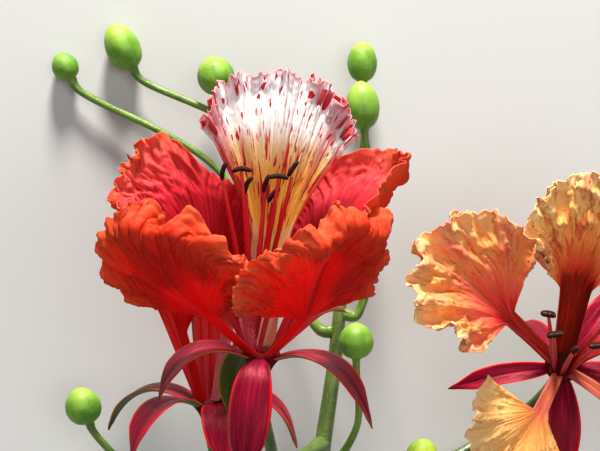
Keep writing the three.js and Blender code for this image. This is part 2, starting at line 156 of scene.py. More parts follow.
def surfaced(tree, inputs):
    """A plain surface with the given inputs, which a tree's material then shows."""
    surface = node(tree, "BsdfPrincipled", inputs)
    node(tree, "OutputMaterial", {"Surface": surface.outputs[0]})


half = FLOOR_SIZE / 2
corners = [(-half, -half, 0), (half, -half, 0), (half, half, 0), (-half, half, 0)]
floor_mesh = bpy.data.meshes.new("floor")
floor_mesh.from_pydata(corners, [], [(0, 1, 2, 3)])
floor = bpy.data.objects.new("floor", floor_mesh)
bpy.context.scene.collection.objects.link(floor)
floor_finish, tree = new_finish("pale_board")
grain = noise(tree, node(tree, "TexCoord").outputs["Object"], 3.0)
board = blend(tree, shade(tree, grain, 0.3, 0.7), PALE, DULL)
surfaced(tree, {"Base Color": board, "Roughness": 0.9})
floor_mesh.materials.append(floor_finish)

LIT_POINT = (0.0, 0.0, 0.05)
LAMPS = [
    ("key", (-0.04, 0.85, 0.26), 0.20, 19.0, (1.0, 0.96, 0.90)),
    ("fill", (0.10, 0.10, 0.95), 0.80, 3.6, (0.96, 0.98, 1.0)),
]
for name, place, width, power, colour in LAMPS:
    lamp_data = bpy.data.lights.new(name, "AREA")
    lamp_data.shape = "DISK"
    lamp_data.size = width
    lamp_data.energy = power
    lamp_data.color = colour
    lamp = bpy.data.objects.new(name, lamp_data)
    lamp.location = place
    x, y, z = np.array(place) - LIT_POINT
    lamp.rotation_euler = (np.arctan2(np.hypot(x, y), z), 0.0, np.arctan2(y, x) + np.pi / 2)
    bpy.context.scene.collection.objects.link(lamp)

room = bpy.data.worlds.new("room")
room.use_nodes = True
room.node_tree.nodes["Background"].inputs[0].default_value = (0.86, 0.89, 0.93, 1.0)
room.node_tree.nodes["Background"].inputs[1].default_value = 0.30
bpy.context.scene.world = room


# The main stem is one soft green shoot, cut square at its foot and tapering to its tip. Its skin
# is waxy, yellower along its ridges, with a faint ripple along its length.
STEM_RADII = (3.3, 1.5)


def even_turns(count):
    """Angles of count even steps round a circle."""
    return np.linspace(0, 2 * np.pi, count, endpoint=False)


def unit(vectors):
    """Each vector divided by its length."""
    return vectors / np.maximum(np.linalg.norm(vectors, axis=-1, keepdims=True), 1e-12)


def smooth_path(points, count):
    """Centripetal Catmull-Rom spline through points, read at count places evenly along its length.

    Knots are spaced by the square root of the distance between points, each span is the cubic
    that has the end points and the mean slopes there, and the ends carry straight on.
    """
    points = np.asarray(points, float)
    line = np.vstack([2 * points[0] - points[1], points, 2 * points[-1] - points[-2]])
    gap = np.sqrt(np.linalg.norm(np.diff(line, axis=0), axis=1))[:, None]
    step = np.diff(line, axis=0)
    slope = step[:-1] / gap[:-1] - (step[:-1] + step[1:]) / (gap[:-1] + gap[1:]) + step[1:] / gap[1:]
    t = np.linspace(0, 1, 60, endpoint=False)[None, :, None]
    start, end = line[1:-2, None], line[2:-1, None]
    leave, arrive = slope[:-1, None] * gap[1:-1, None], slope[1:, None] * gap[1:-1, None]
    curve = (
        start * (2 * t**3 - 3 * t**2 + 1) + leave * (t**3 - 2 * t**2 + t)
        + end * (3 * t**2 - 2 * t**3) + arrive * (t**3 - t**2)
    )
    curve = np.vstack([curve.reshape(-1, 3), line[-2]])
    far = np.r_[0.0, np.cumsum(np.linalg.norm(np.diff(curve, axis=0), axis=1))]
    wanted = np.linspace(0, far[-1], count)
    return np.stack([np.interp(wanted, far, curve[:, k]) for k in range(3)], axis=1)


def round_skin(centres, radii, sides, finish=0, scale=0.1):
    """A closed skin of rings round a line of centres, one pole at each end.

    A ring's point is centre + r (cos a, sin a) in two directions square to the line, the first of
    them nearest to the normal of the plane that the line lies in. r is one number a ring, or one
    for every point. The map has the turn round the ring and scale times the length along it.
    """
    centres = np.asarray(centres, float)
    ahead = unit(np.gradient(centres, axis=0))
    plane = np.linalg.svd(centres - centres.mean(0))[2][2]
    first = unit(plane - ahead * (ahead @ plane)[:, None])
    second = np.cross(ahead, first)
    angle = even_turns(sides)
    radii = np.broadcast_to(np.asarray(radii, float).reshape(len(centres), -1), (len(centres), sides))
    cosines, sines = np.cos(angle)[None, :, None], np.sin(angle)[None, :, None]
    rings = centres[:, None] + radii[..., None] * (cosines * first[:, None] + sines * second[:, None])
    points = np.vstack([rings.reshape(-1, 3), centres[0], centres[-1]])
    far = np.r_[0.0, np.cumsum(np.linalg.norm(np.diff(centres, axis=0), axis=1))] * scale
    i, j = np.meshgrid(np.arange(len(centres) - 1), np.arange(sides), indexing="ij")
    i, j = i.ravel(), j.ravel()
    beside = (j + 1) % sides
    low, high = i * sides, (i + 1) * sides
    quads = np.stack([low + j, low + beside, high + beside, high + j], axis=1)
    turns = np.stack([j, j + 1, j + 1, j], axis=1) / sides
    lengths = np.stack([far[i], far[i], far[i + 1], far[i + 1]], axis=1)
    quad_map = np.stack([turns, lengths], axis=2)
    k = np.arange(sides)
    last = (len(centres) - 1) * sides
    pole = rings.shape[0] * sides
    foot = np.stack([(k + 1) % sides, k, np.full(sides, pole)], axis=1)
    head = np.stack([last + k, last + (k + 1) % sides, np.full(sides, pole + 1)], axis=1)
    rim = np.stack([k / sides, (k + 1) / sides, (k + 0.5) / sides], axis=1)
    foot_map = np.stack([rim[:, [1, 0, 2]], np.full((sides, 3), far[0])], axis=2)
    head_map = np.stack([rim, np.full((sides, 3), far[-1])], axis=2)
    return points, [(quads, quad_map, finish), (foot, foot_map, finish), (head, head_map, finish)]


def make_piece(name, skins, finishes, nodes):
    """One object from closed skins, each its points and its faces with their map and finish."""
    points, faces, maps, indices = [], [], [], []
    count = 0
    for skin_points, groups in skins:
        for corners, corner_map, finish in groups:
            faces += (corners + count).tolist()
            maps.append(corner_map.reshape(-1, 2))
            indices.append(np.full(len(corners), finish, np.int32))
        points.append(skin_points)
        count += len(skin_points)
    mesh = bpy.data.meshes.new(name)
    mesh.from_pydata(lie(np.vstack(points)), [], faces)
    layer = mesh.uv_layers.new(name="surface")
    layer.data.foreach_set("uv", np.vstack(maps).astype(np.float32).ravel())
    for finish in finishes:
        mesh.materials.append(finish)
    mesh.polygons.foreach_set("material_index", np.concatenate(indices))
    mesh.polygons.foreach_set("use_smooth", np.ones(len(mesh.polygons), bool))
    mesh.update()
    made = bpy.data.objects.new(name, mesh)
    bpy.context.scene.collection.objects.link(made)
    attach(made, "root")
    if nodes:
        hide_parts(*nodes)


def surface_map(tree):
    """The map of a piece: the turn or the way across it first, then the way along it."""
    return node(tree, "UVMap", uv_map="surface").outputs[0]


def maths(tree, operation, *values):
    """The result of one step of arithmetic on values, which are numbers or sockets."""
    return node(tree, "Math", dict(enumerate(values)), operation=operation).outputs[0]


def raised(tree, height, strength, distance):
    """Normals of a skin that height raises by up to distance in metres."""
    return node(tree, "Bump", {"Height": height, "Strength": strength, "Distance": distance}).outputs[0]


def waxy_green(name, deep, light, ridge, roughness, wax=0.15, gloss=0.5):
    """Green skin: deep and light in cloudy patches, streaks of ridge along it, a low wax gloss."""
    worn = (roughness - 0.07, roughness + 0.07)
    material, tree = new_finish(name)
    spot = node(tree, "TexCoord").outputs["Object"]
    cloud = noise(tree, spot, 130.0, 4.0, 0.6)
    skin = blend(tree, shade(tree, cloud, 0.35, 0.68), deep, light)
    streak = noise(tree, surface_map(tree), 1.6, 3.0, stretch=(9.0, 1.3, 1.0))
    skin = blend(tree, shade(tree, streak, 0.5, 0.75, 0.0, 0.7), skin, ridge)
    relief = maths(tree, "ADD", streak, noise(tree, spot, 1500.0))
    surfaced(tree, {
        "Base Color": skin, "Roughness": shade(tree, cloud, 0.3, 0.7, *worn),
        "Normal": raised(tree, relief, 0.35, 0.0003), "Specular IOR Level": gloss,
        "Coat Weight": wax, "Coat Roughness": 0.35,
        "Subsurface Weight": 0.08, "Subsurface Scale": 0.001,
    })
    return material


stem_green = waxy_green(
    "stem_green", (0.055, 0.105, 0.014), (0.13, 0.20, 0.022), (0.24, 0.26, 0.035), 0.42)
rings, sides = 120, 40
t, angle = np.linspace(0, 1, rings)[:, None], even_turns(sides)[None, :]
girth = np.interp(t, [0, 1], STEM_RADII) * np.interp(t, [0, 0.004, 1], [0.97, 1, 1])
ribs = 0.985 + 0.025 * np.sin(5 * angle + 2 * t) + 0.012 * np.sin(11 * angle + 9 * t)
stem_skin = round_skin(smooth_path(STEM_PATH, rings), girth * ribs, sides)
make_piece("stem_shoot", [stem_skin], [stem_green], ["stem"])


# Each open bloom stands on a pedicel, a smooth round stalk that leaves the stem square to it,
# bends up and thickens into the bloom. It grows out of the stem, so its foot is sunk in it.

# For each bloom its place, and its lean to the right and to the back. For each pedicel the share
# of the stem's length that it leaves at, and its bends.
BLOOMS = {
    "front": ((0, 0, 0), (3.5, 0)),
    "left": ((-15, 45, -27), (-2, 4)),
    "right": ((81, 52, -20), (0, -58)),
}
PEDICELS = {
    "front": (0.55, [(4, 24, -40), (2, 5, -27)]),
    "left": (0.5, [(-10, 46, -50)]),
    "right": (0.42, [(46, 68, -56), (74, 77, -41)]),
}
PEDICEL_PLACES = [0, 0.03, 0.08, 0.35, 0.6, 0.9, 1]
PEDICEL_RADII = [2.7, 2.35, 1.95, 1.62, 1.5, 1.6, 2.0]
RECEPTACLE_FOOT = -8.0
CLEAR = 0.3
SUNK = 0.9
STRAIGHT_FOR = 2.5


def in_bloom(name, points):
    """Points of an upright bloom, leaned to the right and to the back, and moved to its place."""
    place, (to_right, to_back) = BLOOMS[name]
    turned = turn_about(1, to_right) @ turn_about(0, -to_back)
    return np.asarray(points, float) @ turned.T + np.array(place, float)


def limb_path(leaves, bends, end):
    """Points of a stalk that leaves the stem square to it towards its first bend."""
    last = 800
    line = smooth_path(STEM_PATH, last + 1)
    k = int(round(leaves * last))
    ahead = unit(line[min(k + 1, last)] - line[max(k - 1, 0)])
    away = np.array(bends[0], float) - line[k]
    away = unit(away - ahead * (away @ ahead))
    side = np.interp(leaves, [0, 1], STEM_RADII) + CLEAR
    start = [line[k] + away * (side + step) for step in (-SUNK, 0.0, STRAIGHT_FOR)]
    return np.vstack([start, bends, end])


pedicel_green = waxy_green(
    "pedicel_green", (0.035, 0.075, 0.010), (0.085, 0.15, 0.018), (0.17, 0.20, 0.03), 0.40)
rings, sides = 110, 28
for name, (leaves, bends) in PEDICELS.items():
    top = in_bloom(name, [(0, 0, RECEPTACLE_FOOT - 2.7), (0, 0, RECEPTACLE_FOOT + 1.0)])
    line = smooth_path(limb_path(leaves, bends, top), rings)
    t = np.linspace(0, 1, rings)[:, None]
    girth = np.interp(t, PEDICEL_PLACES, PEDICEL_RADII)
    ribs = 1 + 0.02 * np.sin(5 * even_turns(sides) + 3 * t)
    skin = round_skin(line, girth * ribs, sides)
    make_piece(f"{name}_stalk", [skin], [pedicel_green], [f"{name}_pedicel"])


# A bud is a closed calyx of five green valves that meet along shallow seams, with a small point
# on top. It is one with its thin round stalk, which leaves the stem as the pedicels do.
BUD_SHAPE = [(0.3, 0), (0.72, 0.12), (0.96, 0.32), (1, 0.52), (0.8, 0.76), (0.45, 0.92), (0.08, 1)]
VALVES = 5
STALK_PLACES = [0, 0.04, 0.1, 0.5, 0.95, 1]
STALK_RADII = [1.9, 1.6, 1.2, 0.94, 1.04, 1.5]

# For each bud its middle, radius and length, where its stalk leaves the stem, and its stalk's bend.
BUDS = {
    "high_left": ((-39.7, 84, 62.2), 4.8, 13.4, 0.9, (-4, 76, 38)),
    "far_left": ((-55.5, 82, 57), 3.7, 8, 0.8, (-14, 75, 30)),
    "top": ((-13.8, 78, 55.2), 5.2, 10.6, 0.985, (8, 70, 34)),
    "right_upper": ((26.9, 88, 57.2), 4.2, 11.2, 0.94, (27, 78, 36)),
    "right_lower": ((26.6, 72, 48.1), 4.7, 13.2, 0.84, (31, 64, 22)),
    "low_right": ((24.6, 45, -11), 4.8, 9.8, 0.52, (25, 43, -34)),
    "low_left": ((-49.7, 50, -31), 5, 10.4, 0.3, (-24, 54, -62)),
    "low_front": ((40.7, 6, -29.6), 4.1, 8.4, 0.36, (34, 22, -56)),
}


def bud_skin(base, axis, radius, length):
    """A skin round the bud's axis: BUD_SHAPE, pressed in towards each seam, with a groove along it."""
    rows, sides = 56, 60
    outline = smooth_path([(r, h, 0.0) for r, h in BUD_SHAPE], rows)
    tall = outline[:, 1]
    between_ends = np.sin(np.pi * tall.clip(0, 1))[:, None]
    turn = even_turns(sides)
    off_seam = np.abs(np.angle(np.exp(1j * VALVES * turn))) / VALVES
    groove = np.exp(-(off_seam / 0.07) ** 2)[None, :] * between_ends
    swell = 0.02 * (np.cos(VALVES * turn + np.pi) - 1)[None, :] * between_ends
    radii = outline[:, :1] * radius * (1 - 0.022 * groove + swell)
    return round_skin(base + axis * tall[:, None] * length, radii, sides, scale=1.0)


def bud_green(name, deep, light):
    """Green calyx: deep and light in clouds, darker at the seams, freckled, and paler and yellower
    towards its point, which is partly its own colour and partly painted light on its top.
    """
    material, tree = new_finish(name)
    spot = node(tree, "TexCoord").outputs["Object"]
    cloud = noise(tree, spot, 180.0, 3.0)
    skin = blend(tree, shade(tree, cloud, 0.35, 0.7), deep, light)
    place = node(tree, "SeparateXYZ", {0: surface_map(tree)}).outputs
    seam = maths(tree, "PINGPONG", maths(tree, "MULTIPLY", place[0], float(VALVES)), 0.5)
    skin = blend(tree, shade(tree, seam, 0.0, 0.09, 0.28, 0.0), skin, (0.045, 0.14, 0.008))
    # Paler and yellower towards the point: partly the calyx's own colour, partly painted light on its
    # top.
    skin = blend(tree, shade(tree, place[1], 5.5, 12.0, 0.0, 0.75), skin, (0.34, 0.50, 0.05))
    freckle = noise(tree, spot, 1600.0)
    skin = blend(tree, shade(tree, freckle, 0.6, 0.75, 0.0, 0.35), skin, (0.32, 0.52, 0.09))
    surfaced(tree, {
        "Base Color": skin, "Roughness": shade(tree, cloud, 0.3, 0.7, 0.44, 0.56),
        "Normal": raised(tree, freckle, 0.25, 0.0002), "Specular IOR Level": 0.4,
        "Subsurface Weight": 0.12, "Subsurface Scale": 0.002,
    })
    return material


bud_finish = bud_green("bud_green", (0.085, 0.24, 0.014), (0.19, 0.38, 0.03))
bud_yellow = bud_green("bud_yellow", (0.24, 0.40, 0.02), (0.42, 0.52, 0.04))
stalk_green = waxy_green(
    "stalk_green", (0.07, 0.16, 0.012), (0.15, 0.27, 0.022), (0.27, 0.33, 0.04), 0.40)
rings, sides = 90, 20
for name, (at, radius, length, leaves, bend) in BUDS.items():
    at, bend = np.array(at, float), np.array(bend, float)
    axis = unit(unit(at - bend) + np.array([0.0, 0.0, 1.0]))
    base = at - axis * length / 2
    line = smooth_path(limb_path(leaves, [bend], [base - 3 * axis, base + axis]), rings)
    girth = np.interp(np.linspace(0, 1, rings), STALK_PLACES, STALK_RADII)
    stalk = round_skin(line, girth, sides, finish=1)
    make_piece(
        f"bud_and_stalk_{name}", [bud_skin(base, axis, radius, length), stalk],
        [bud_yellow if name == "low_front" else bud_finish, stalk_green], [f"bud_{name}"],
    )


# Each bloom's parts stand on a small fluted cup that the pedicel widens into. A ring of smooth
# red filaments rises from it, and bends up through the gaps between the petals.
CUP = [(1.9, -8), (2.4, -5.8), (3.4, -3.6), (4.5, -2.0), (4.8, -1.0), (4.2, -0.1), (1.2, 0.35)]
STAMEN_RING = 2.6
FILAMENT_RADII = [0.5, 0.7, 0.62, 0.42]

# For each stamen its angle on the ring, its tip, and how its anther is tilted and sags at the ends.
STAMENS = {
    "front": [
        (-200, (-12.2, -2.5, 43), 80, 0.5), (-194, (-7.6, -1, 45), 5, 0.9),
        (-172, (-6.2, 0.4, 39.2), 70, 0.7), (188, (-1.6, 1.8, 39.5), 75, 0.3),
        (176, (0.4, 0.5, 37.2), 55, 0.4), (164, (1.6, -1.5, 44), 0, 0.7),
        (152, (4.8, 0, 44), 60, 0.2), (-150, (-7, -3, 19), 20, 0.5),
        (-128, (-4.4, -5, 16), 50, 0.5), (-110, (3.4, -4.4, 22), 30, 0.5),
    ],
    "left": [
        (-150, (-3, -1, 36), 20, 0.5), (-100, (0, -3, 35), 70, 0.5), (-50, (3, -1, 37), -20, 0.5),
        (10, (4, 1, 34), 50, 0.5), (190, (-4, 1, 34), -60, 0.5),
    ],
    "right": [
        (-150, (-6, -2, 36), 30, 0.5), (-100, (-1, -6, 35), 80, 0.5), (-50, (5, -5, 37), 10, 0.5),
        (10, (8, 2, 34), 60, 0.5), (190, (-7, 4, 34), -30, 0.5),
    ],
}


def stamen_path(start, tip):
    """Centre line of a stamen: out of the ring at the angle start, then curving up to its tip."""
    angle = np.radians(start)
    base = np.array([STAMEN_RING * np.cos(angle), STAMEN_RING * np.sin(angle), -0.5])
    tip = np.array(tip, float)
    middle = base * 0.62 + tip * 0.38
    middle[2] = 0.42 * tip[2]
    return np.array([base, middle, tip])


def ramp(tree, value, stops):
    """value read on a ramp of (place, colour) stops."""
    made = node(tree, "ValToRGB", {0: value})
    elements = made.color_ramp.elements
    while len(elements) < len(stops):
        elements.new(0.5)
    for element, (place, colour) in zip(elements, stops):
        element.position = place
        element.color = (*colour, 1.0)
    return made.outputs[0]


def thread_finish(name, low, high, tip):
    """Smooth thread: low colour at its foot, high above, a paler tip, and fine streaks along it."""
    material, tree = new_finish(name)
    place = surface_map(tree)
    along = node(tree, "SeparateXYZ", {0: place}).outputs[1]
    skin = ramp(tree, along, [(0.0, low), (0.35, high), (0.85, high), (1.0, tip)])
    streak = noise(tree, place, 3.0, 3.0, stretch=(7.0, 1.0, 1.0))
    skin = blend(tree, shade(tree, streak, 0.45, 0.7, 0.0, 0.5), skin, low)
    surfaced(tree, {
        "Base Color": skin, "Roughness": shade(tree, streak, 0.3, 0.7, 0.35, 0.5),
        "Normal": raised(tree, streak, 0.3, 0.0002), "Subsurface Weight": 0.1, "Subsurface Scale": 0.001,
    })
    return material


cup_finish = waxy_green(
    "cup_finish", (0.045, 0.003, 0.003), (0.10, 0.003, 0.006), (0.10, 0.025, 0.006), 0.85,
    wax=0.0, gloss=0.08)
filament_red = thread_finish(
    "filament_red", (0.26, 0.002, 0.010), (0.55, 0.006, 0.012), (0.62, 0.05, 0.02))
outline = smooth_path([(r, h, 0.0) for r, h in CUP], 40)
flutes = 1 + 0.025 * np.cos(5 * even_turns(50))
points, faces = round_skin(outline[:, 1:2] * [0.0, 0.0, 1.0], outline[:, :1] * flutes, 50)
for name, stamens in STAMENS.items():
    cup = (in_bloom(name, points), faces)
    make_piece(f"{name}_cup", [cup], [cup_finish], [f"{name}_centre"])
    threads = []
    for start, tip, _, _ in stamens:
        line = smooth_path(stamen_path(start, np.array(tip) + [0.0, 0.0, 2 * CLEAR]), 60)
        girth = np.interp(np.linspace(0, 1, 60), [0, 0.3, 0.7, 1], FILAMENT_RADII)
        threads.append(round_skin(in_bloom(name, line), girth, 14, scale=0.022))
    make_piece(f"{name}_filaments", threads, [filament_red], [f"{name}_centre"])


# An anther is a dark bean of two lobes, bent over the filament's tip, that opens along a slit
# with an orange rim of pollen.
ANTHER_LENGTH = 4.8
ANTHER_RADIUS = 0.85


def anther_skin(tip, tilt, sag):
    """A skin round a bent line: rounded at its ends, and wider by the cosine of 2a into two lobes."""
    rows, sides = 28, 20
    t = np.linspace(-1, 1, rows)
    angle = np.radians(tilt)
    along = np.array([np.cos(angle), 0.0, np.sin(angle)])
    over = np.array([-np.sin(angle), 0.0, np.cos(angle)])
    clear_of_tip = CLEAR + ANTHER_RADIUS * abs(np.cos(angle)) + ANTHER_LENGTH / 2 * abs(np.sin(angle))
    centre = np.array(tip, float) + np.array([0.0, 0.0, clear_of_tip])
    line = centre + along * (t * ANTHER_LENGTH / 2)[:, None] - over * (sag * t**2)[:, None]
    turn = even_turns(sides)
    girth = ANTHER_RADIUS * np.sqrt(np.clip(1.02 - t**4, 0, 1))
    return round_skin(line, girth[:, None] * (0.9 + 0.2 * np.cos(2 * turn))[None, :], sides, scale=1.0)


def anther_finish():
    """Dark brown, dusted and pitted, with an orange line of pollen along one side."""
    material, tree = new_finish("anther_brown")
    dust = noise(tree, node(tree, "TexCoord").outputs["Object"], 2600.0, 3.0)
    skin = blend(tree, shade(tree, dust, 0.45, 0.7), (0.014, 0.002, 0.002), (0.060, 0.010, 0.006))
    turn = node(tree, "SeparateXYZ", {0: surface_map(tree)}).outputs[0]
    fold = maths(tree, "PINGPONG", turn, 0.5)
    slit = maths(tree, "MULTIPLY", shade(tree, fold, 0.18, 0.25), shade(tree, fold, 0.25, 0.31, 1.0, 0.0))
    pollen = maths(tree, "MULTIPLY", slit, shade(tree, dust, 0.4, 0.7, 0.0, 0.6))
    skin = blend(tree, pollen, skin, (0.62, 0.20, 0.045))
    surfaced(tree, {
        "Base Color": skin, "Roughness": 0.75, "Specular IOR Level": 0.15,
        "Normal": raised(tree, dust, 0.6, 0.0002),
    })
    return material


anther_brown = anther_finish()
for name, stamens in STAMENS.items():
    for k, (_, tip, tilt, sag) in enumerate(stamens, 1):
        points, faces = anther_skin(tip, tilt, sag)
        nodes = [f"{name}_anther_{k}"] if name == "front" else []
        bean = (in_bloom(name, points), faces)
        make_piece(f"{name}_anther_bean_{k}", [bean], [anther_brown], nodes)


# The front bloom's pistil stands in the gap between its two front petals: a slim red style on a
# swollen ovary that is covered in fine pink hairs.
PISTIL_PATH = [(-2.2, -1.6, -0.3), (-2.6, -2.0, 1.5), (-4.2, -3.8, 7), (-5.2, -5.6, 15), (-5.4, -6.2, 23)]
PISTIL_RADII = [0.8, 1.15, 0.95, 0.55, 0.45]
HAIRS = 900
HAIR_LENGTH = 1.1
HAIR_RADIUS = 0.05
HAIR_COLOUR = (0.80, 0.22, 0.26)

line = smooth_path(PISTIL_PATH, 90)
girth = np.interp(np.linspace(0, 1, 90), np.linspace(0, 1, 5), PISTIL_RADII)
style = round_skin(in_bloom("front", line), girth, 20, scale=0.03)
dice = np.random.default_rng(5)
row = dice.integers(2, 42, HAIRS)
turn = dice.uniform(0, 2 * np.pi, HAIRS)
out = np.stack([np.cos(turn), np.sin(turn), dice.uniform(0.2, 1.1, HAIRS)], axis=1)
root = line[row] + unit(out * [1, 1, 0]) * girth[row, None] * 0.95
tip = root + unit(out) * HAIR_LENGTH * dice.uniform(0.5, 1.0, (HAIRS, 1))
beside = unit(np.cross(out, [0.0, 0.0, 1.0])) * HAIR_RADIUS
across = unit(np.cross(out, beside)) * HAIR_RADIUS
foot = root - 0.5 * beside
corners = np.stack([root + beside, foot + across, foot - across, tip], axis=1)
k = 4 * np.arange(HAIRS)[:, None]
faces = np.vstack([k + [0, 1, 3], k + [1, 2, 3], k + [2, 0, 3], k + [0, 2, 1]])
hairs = (in_bloom("front", corners.reshape(-1, 3)), [(faces, np.zeros((len(faces), 3, 2)), 1)])
style_red = thread_finish("style_red", (0.60, 0.06, 0.09), (0.50, 0.008, 0.02), (0.40, 0.02, 0.02))
hair_pink = thread_finish("hair_pink", HAIR_COLOUR, HAIR_COLOUR, HAIR_COLOUR)
make_piece("front_style", [style, hairs], [style_red, hair_pink], ["front_pistil"])


# A sepal is a thick leathery strap, pointed at its tip and bent back below the bloom. Its face
# is maroon with a satin sheen and a bright red margin, and its back is green.
SEPAL_SEAT = (4.5, -1.3)
SEPAL_THICKNESS = 0.9

# A width this small keeps the middle of a blade to one side, because a width of 0 has no sign.
# An arc that turns by less than the angle STRAIGHT is taken to turn by it.
OFF_MIDDLE = 1e-9
STRAIGHT = 1e-4

# For each sepal its azimuth, length and width, the angles of its rise, and how it is cupped.
SEPALS = {
    "front": [
        (-99, 33, 11, [-10, -60, -80, -88], -25), (-24, 34, 10, [28, -5, -50, -66], 20),
        (48, 30, 6, [36, 28, 5, -30], 20), (122, 25, 8.5, [0, -60, -85, -88], 20),
        (203, 29, 10, [28, 5, -45, -80], 20),
    ],
    "left": [
        (-140, 30, 10, [35, 0, -50, -80], 20), (160, 32, 10, [30, 5, -40, -70], 20),
        (-10, 28, 9, [40, -10, -60, -80], 20), (-76, 20, 10, [10, -40, -60, -70], 20),
        (74, 26, 10, [30, 0, -40, -60], 20),
    ],
    "right": [
        (190, 28, 6.5, [20, 0, -15, -30], 45), (-90, 27, 9, [10, 0, -15, -30], 20),
        (-16, 27, 9, [20, 0, -15, -30], 20), (52, 27, 9, [20, 0, -15, -30], 20),
        (122, 24, 8, [-10, -45, -60, -70], 20),
    ],
}


def smooth_step(x):
    """0 below 0, 1 above 1, and between them the cubic that is level at both."""
    x = np.clip(x, 0, 1)
    return x**2 * (3 - 2 * x)


def read_line(x, stations, values):
    """The line through stations and values at x, its corners rounded by a mean of five readings."""
    spread = 0.07 * (stations[-1] - stations[0])
    return np.mean([np.interp(x + k * spread, stations, values) for k in (-1, -0.5, 0, 0.5, 1)], axis=0)


def midrib(spec, length, stations, s):
    """Point, side and inner normal at lengths s of a centre line that starts at its seat.

    It heads for azimuth and climbs by the angles of rise at the stations. Swerve turns it
    sideways along its length, and twist turns its face about it.
    """
    heading = np.radians(spec["azimuth"])
    out = np.array([np.cos(heading), np.sin(heading), 0.0])
    across = np.array([-np.sin(heading), np.cos(heading), 0.0])

    def directions(s):
        elevation = np.radians(read_line(s, stations, spec["rise"]))[..., None]
        past_claw = np.clip((s - 0.2 * stations[1]) / length, 0, 1)[..., None]
        swing = np.radians(spec.get("swerve", 0.0)) * past_claw
        twist = spec.get("twist", [0, 0, 0])
        turn = np.radians(read_line(s, [0, stations[1], length], twist))[..., None]
        ahead = out * np.cos(elevation) + np.array([0.0, 0.0, 1.0]) * np.sin(elevation)
        along = ahead * np.cos(swing) + across * np.sin(swing)
        flat = across * np.cos(swing) - ahead * np.sin(swing)
        inner = np.cross(along, flat)
        side = flat * np.cos(turn) + inner * np.sin(turn)
        return along, side, inner * np.cos(turn) - flat * np.sin(turn)

    seat = np.radians(spec.get("from", spec["azimuth"]))
    radius, height = spec["seat"]
    parts = 400
    table = np.linspace(0, length, parts + 1)
    middle = (table[1:] + table[:-1]) / 2
    steps = directions(middle)[0] * (length / parts)
    start = np.array([radius * np.cos(seat), radius * np.sin(seat), height])
    line = start + np.vstack([np.zeros(3), np.cumsum(steps, axis=0)])
    s = np.clip(s, 0, length)
    point = np.stack([np.interp(s, table, line[:, k]) for k in range(3)], axis=-1)
    _, side, inner = directions(s)
    return point, side, inner


def bent_across(rib, x, fold, bend, lift):
    """Points at x beside a midrib, on an arc whose slope goes from fold at the rib to bend at x."""
    point, side, inner = rib
    turn = np.where(np.abs(bend - fold) < STRAIGHT, STRAIGHT, bend - fold)
    reach = np.abs(x) * (np.sin(fold + turn) - np.sin(fold)) / turn
    climb = np.abs(x) * (np.cos(fold) - np.cos(fold + turn)) / turn
    return (
        point + side * (np.sign(x) * (reach - lift * np.sin(bend)))[..., None]
        + inner * (climb + lift * np.cos(bend))[..., None]
    )


def facing(points):
    """Unit normals of a grid of points: the slope along its rows crossed with the slope across them."""
    return unit(np.cross(np.gradient(points, axis=0), np.gradient(points, axis=1)))


def sheet_skin(points, thickness, chart):
    """A closed skin, half of thickness to each side of a grid, joined by a strip round its rim.

    Its face and the strip have the first finish, and its back has the second.
    """
    rows, columns = points.shape[:2]
    half = facing(points) * (np.broadcast_to(thickness, (rows, columns)) / 2)[..., None]
    both = np.vstack([(points + half).reshape(-1, 3), (points - half).reshape(-1, 3)])
    index = np.arange(rows * columns).reshape(rows, columns)
    below = index + rows * columns
    flat = chart.reshape(-1, 2)

    def squares(a, b, c, d):
        corners = np.stack([a.ravel(), b.ravel(), c.ravel(), d.ravel()], axis=1)
        return corners, flat[corners % (rows * columns)]

    upper = squares(index[:-1, :-1], index[1:, :-1], index[1:, 1:], index[:-1, 1:])
    lower = squares(below[:-1, :-1], below[:-1, 1:], below[1:, 1:], below[1:, :-1])
    rim = np.concatenate([index[:, 0], index[-1, 1:], index[-2::-1, -1], index[0, -2::-1]])
    rim_below = rim + rows * columns
    edge = squares(rim[:-1], rim_below[:-1], rim_below[1:], rim[1:])
    return both, [(*upper, 0), (*lower, 1), (*edge, 0)]


def sepal_surface(azimuth, length, width, rise, cup, across=22, along=70):
    """Grid of a strap: wide by a sine, pointed, cupped across, and with a groove along its middle."""
    u = np.linspace(0, 1, along)[:, None]
    v = np.linspace(-1, 1, across)[None, :]
    stations = np.array([0, 0.3, 0.65, 1]) * length
    spec = {"seat": SEPAL_SEAT, "azimuth": azimuth, "rise": rise}
    rib = midrib(spec, length, stations, u * length + 0 * v)
    belly = 0.5 + 0.5 * np.sin(np.pi * np.minimum(1, u / 0.9)) ** 0.9
    half = width / 2 * np.maximum(0.03, belly * np.clip((1 - u) / 0.28, 0, 1) ** 0.6)
    wave = 0.22 * np.sin(9 * u + 2 * v + azimuth) * np.abs(v) ** 2
    bend = np.radians(cup) * np.abs(v) * np.ones_like(u)
    vein = 0.25 * np.exp(-(v / 0.12) ** 2)
    return bent_across(rib, v * half + OFF_MIDDLE, np.zeros_like(bend), bend, wave - vein)


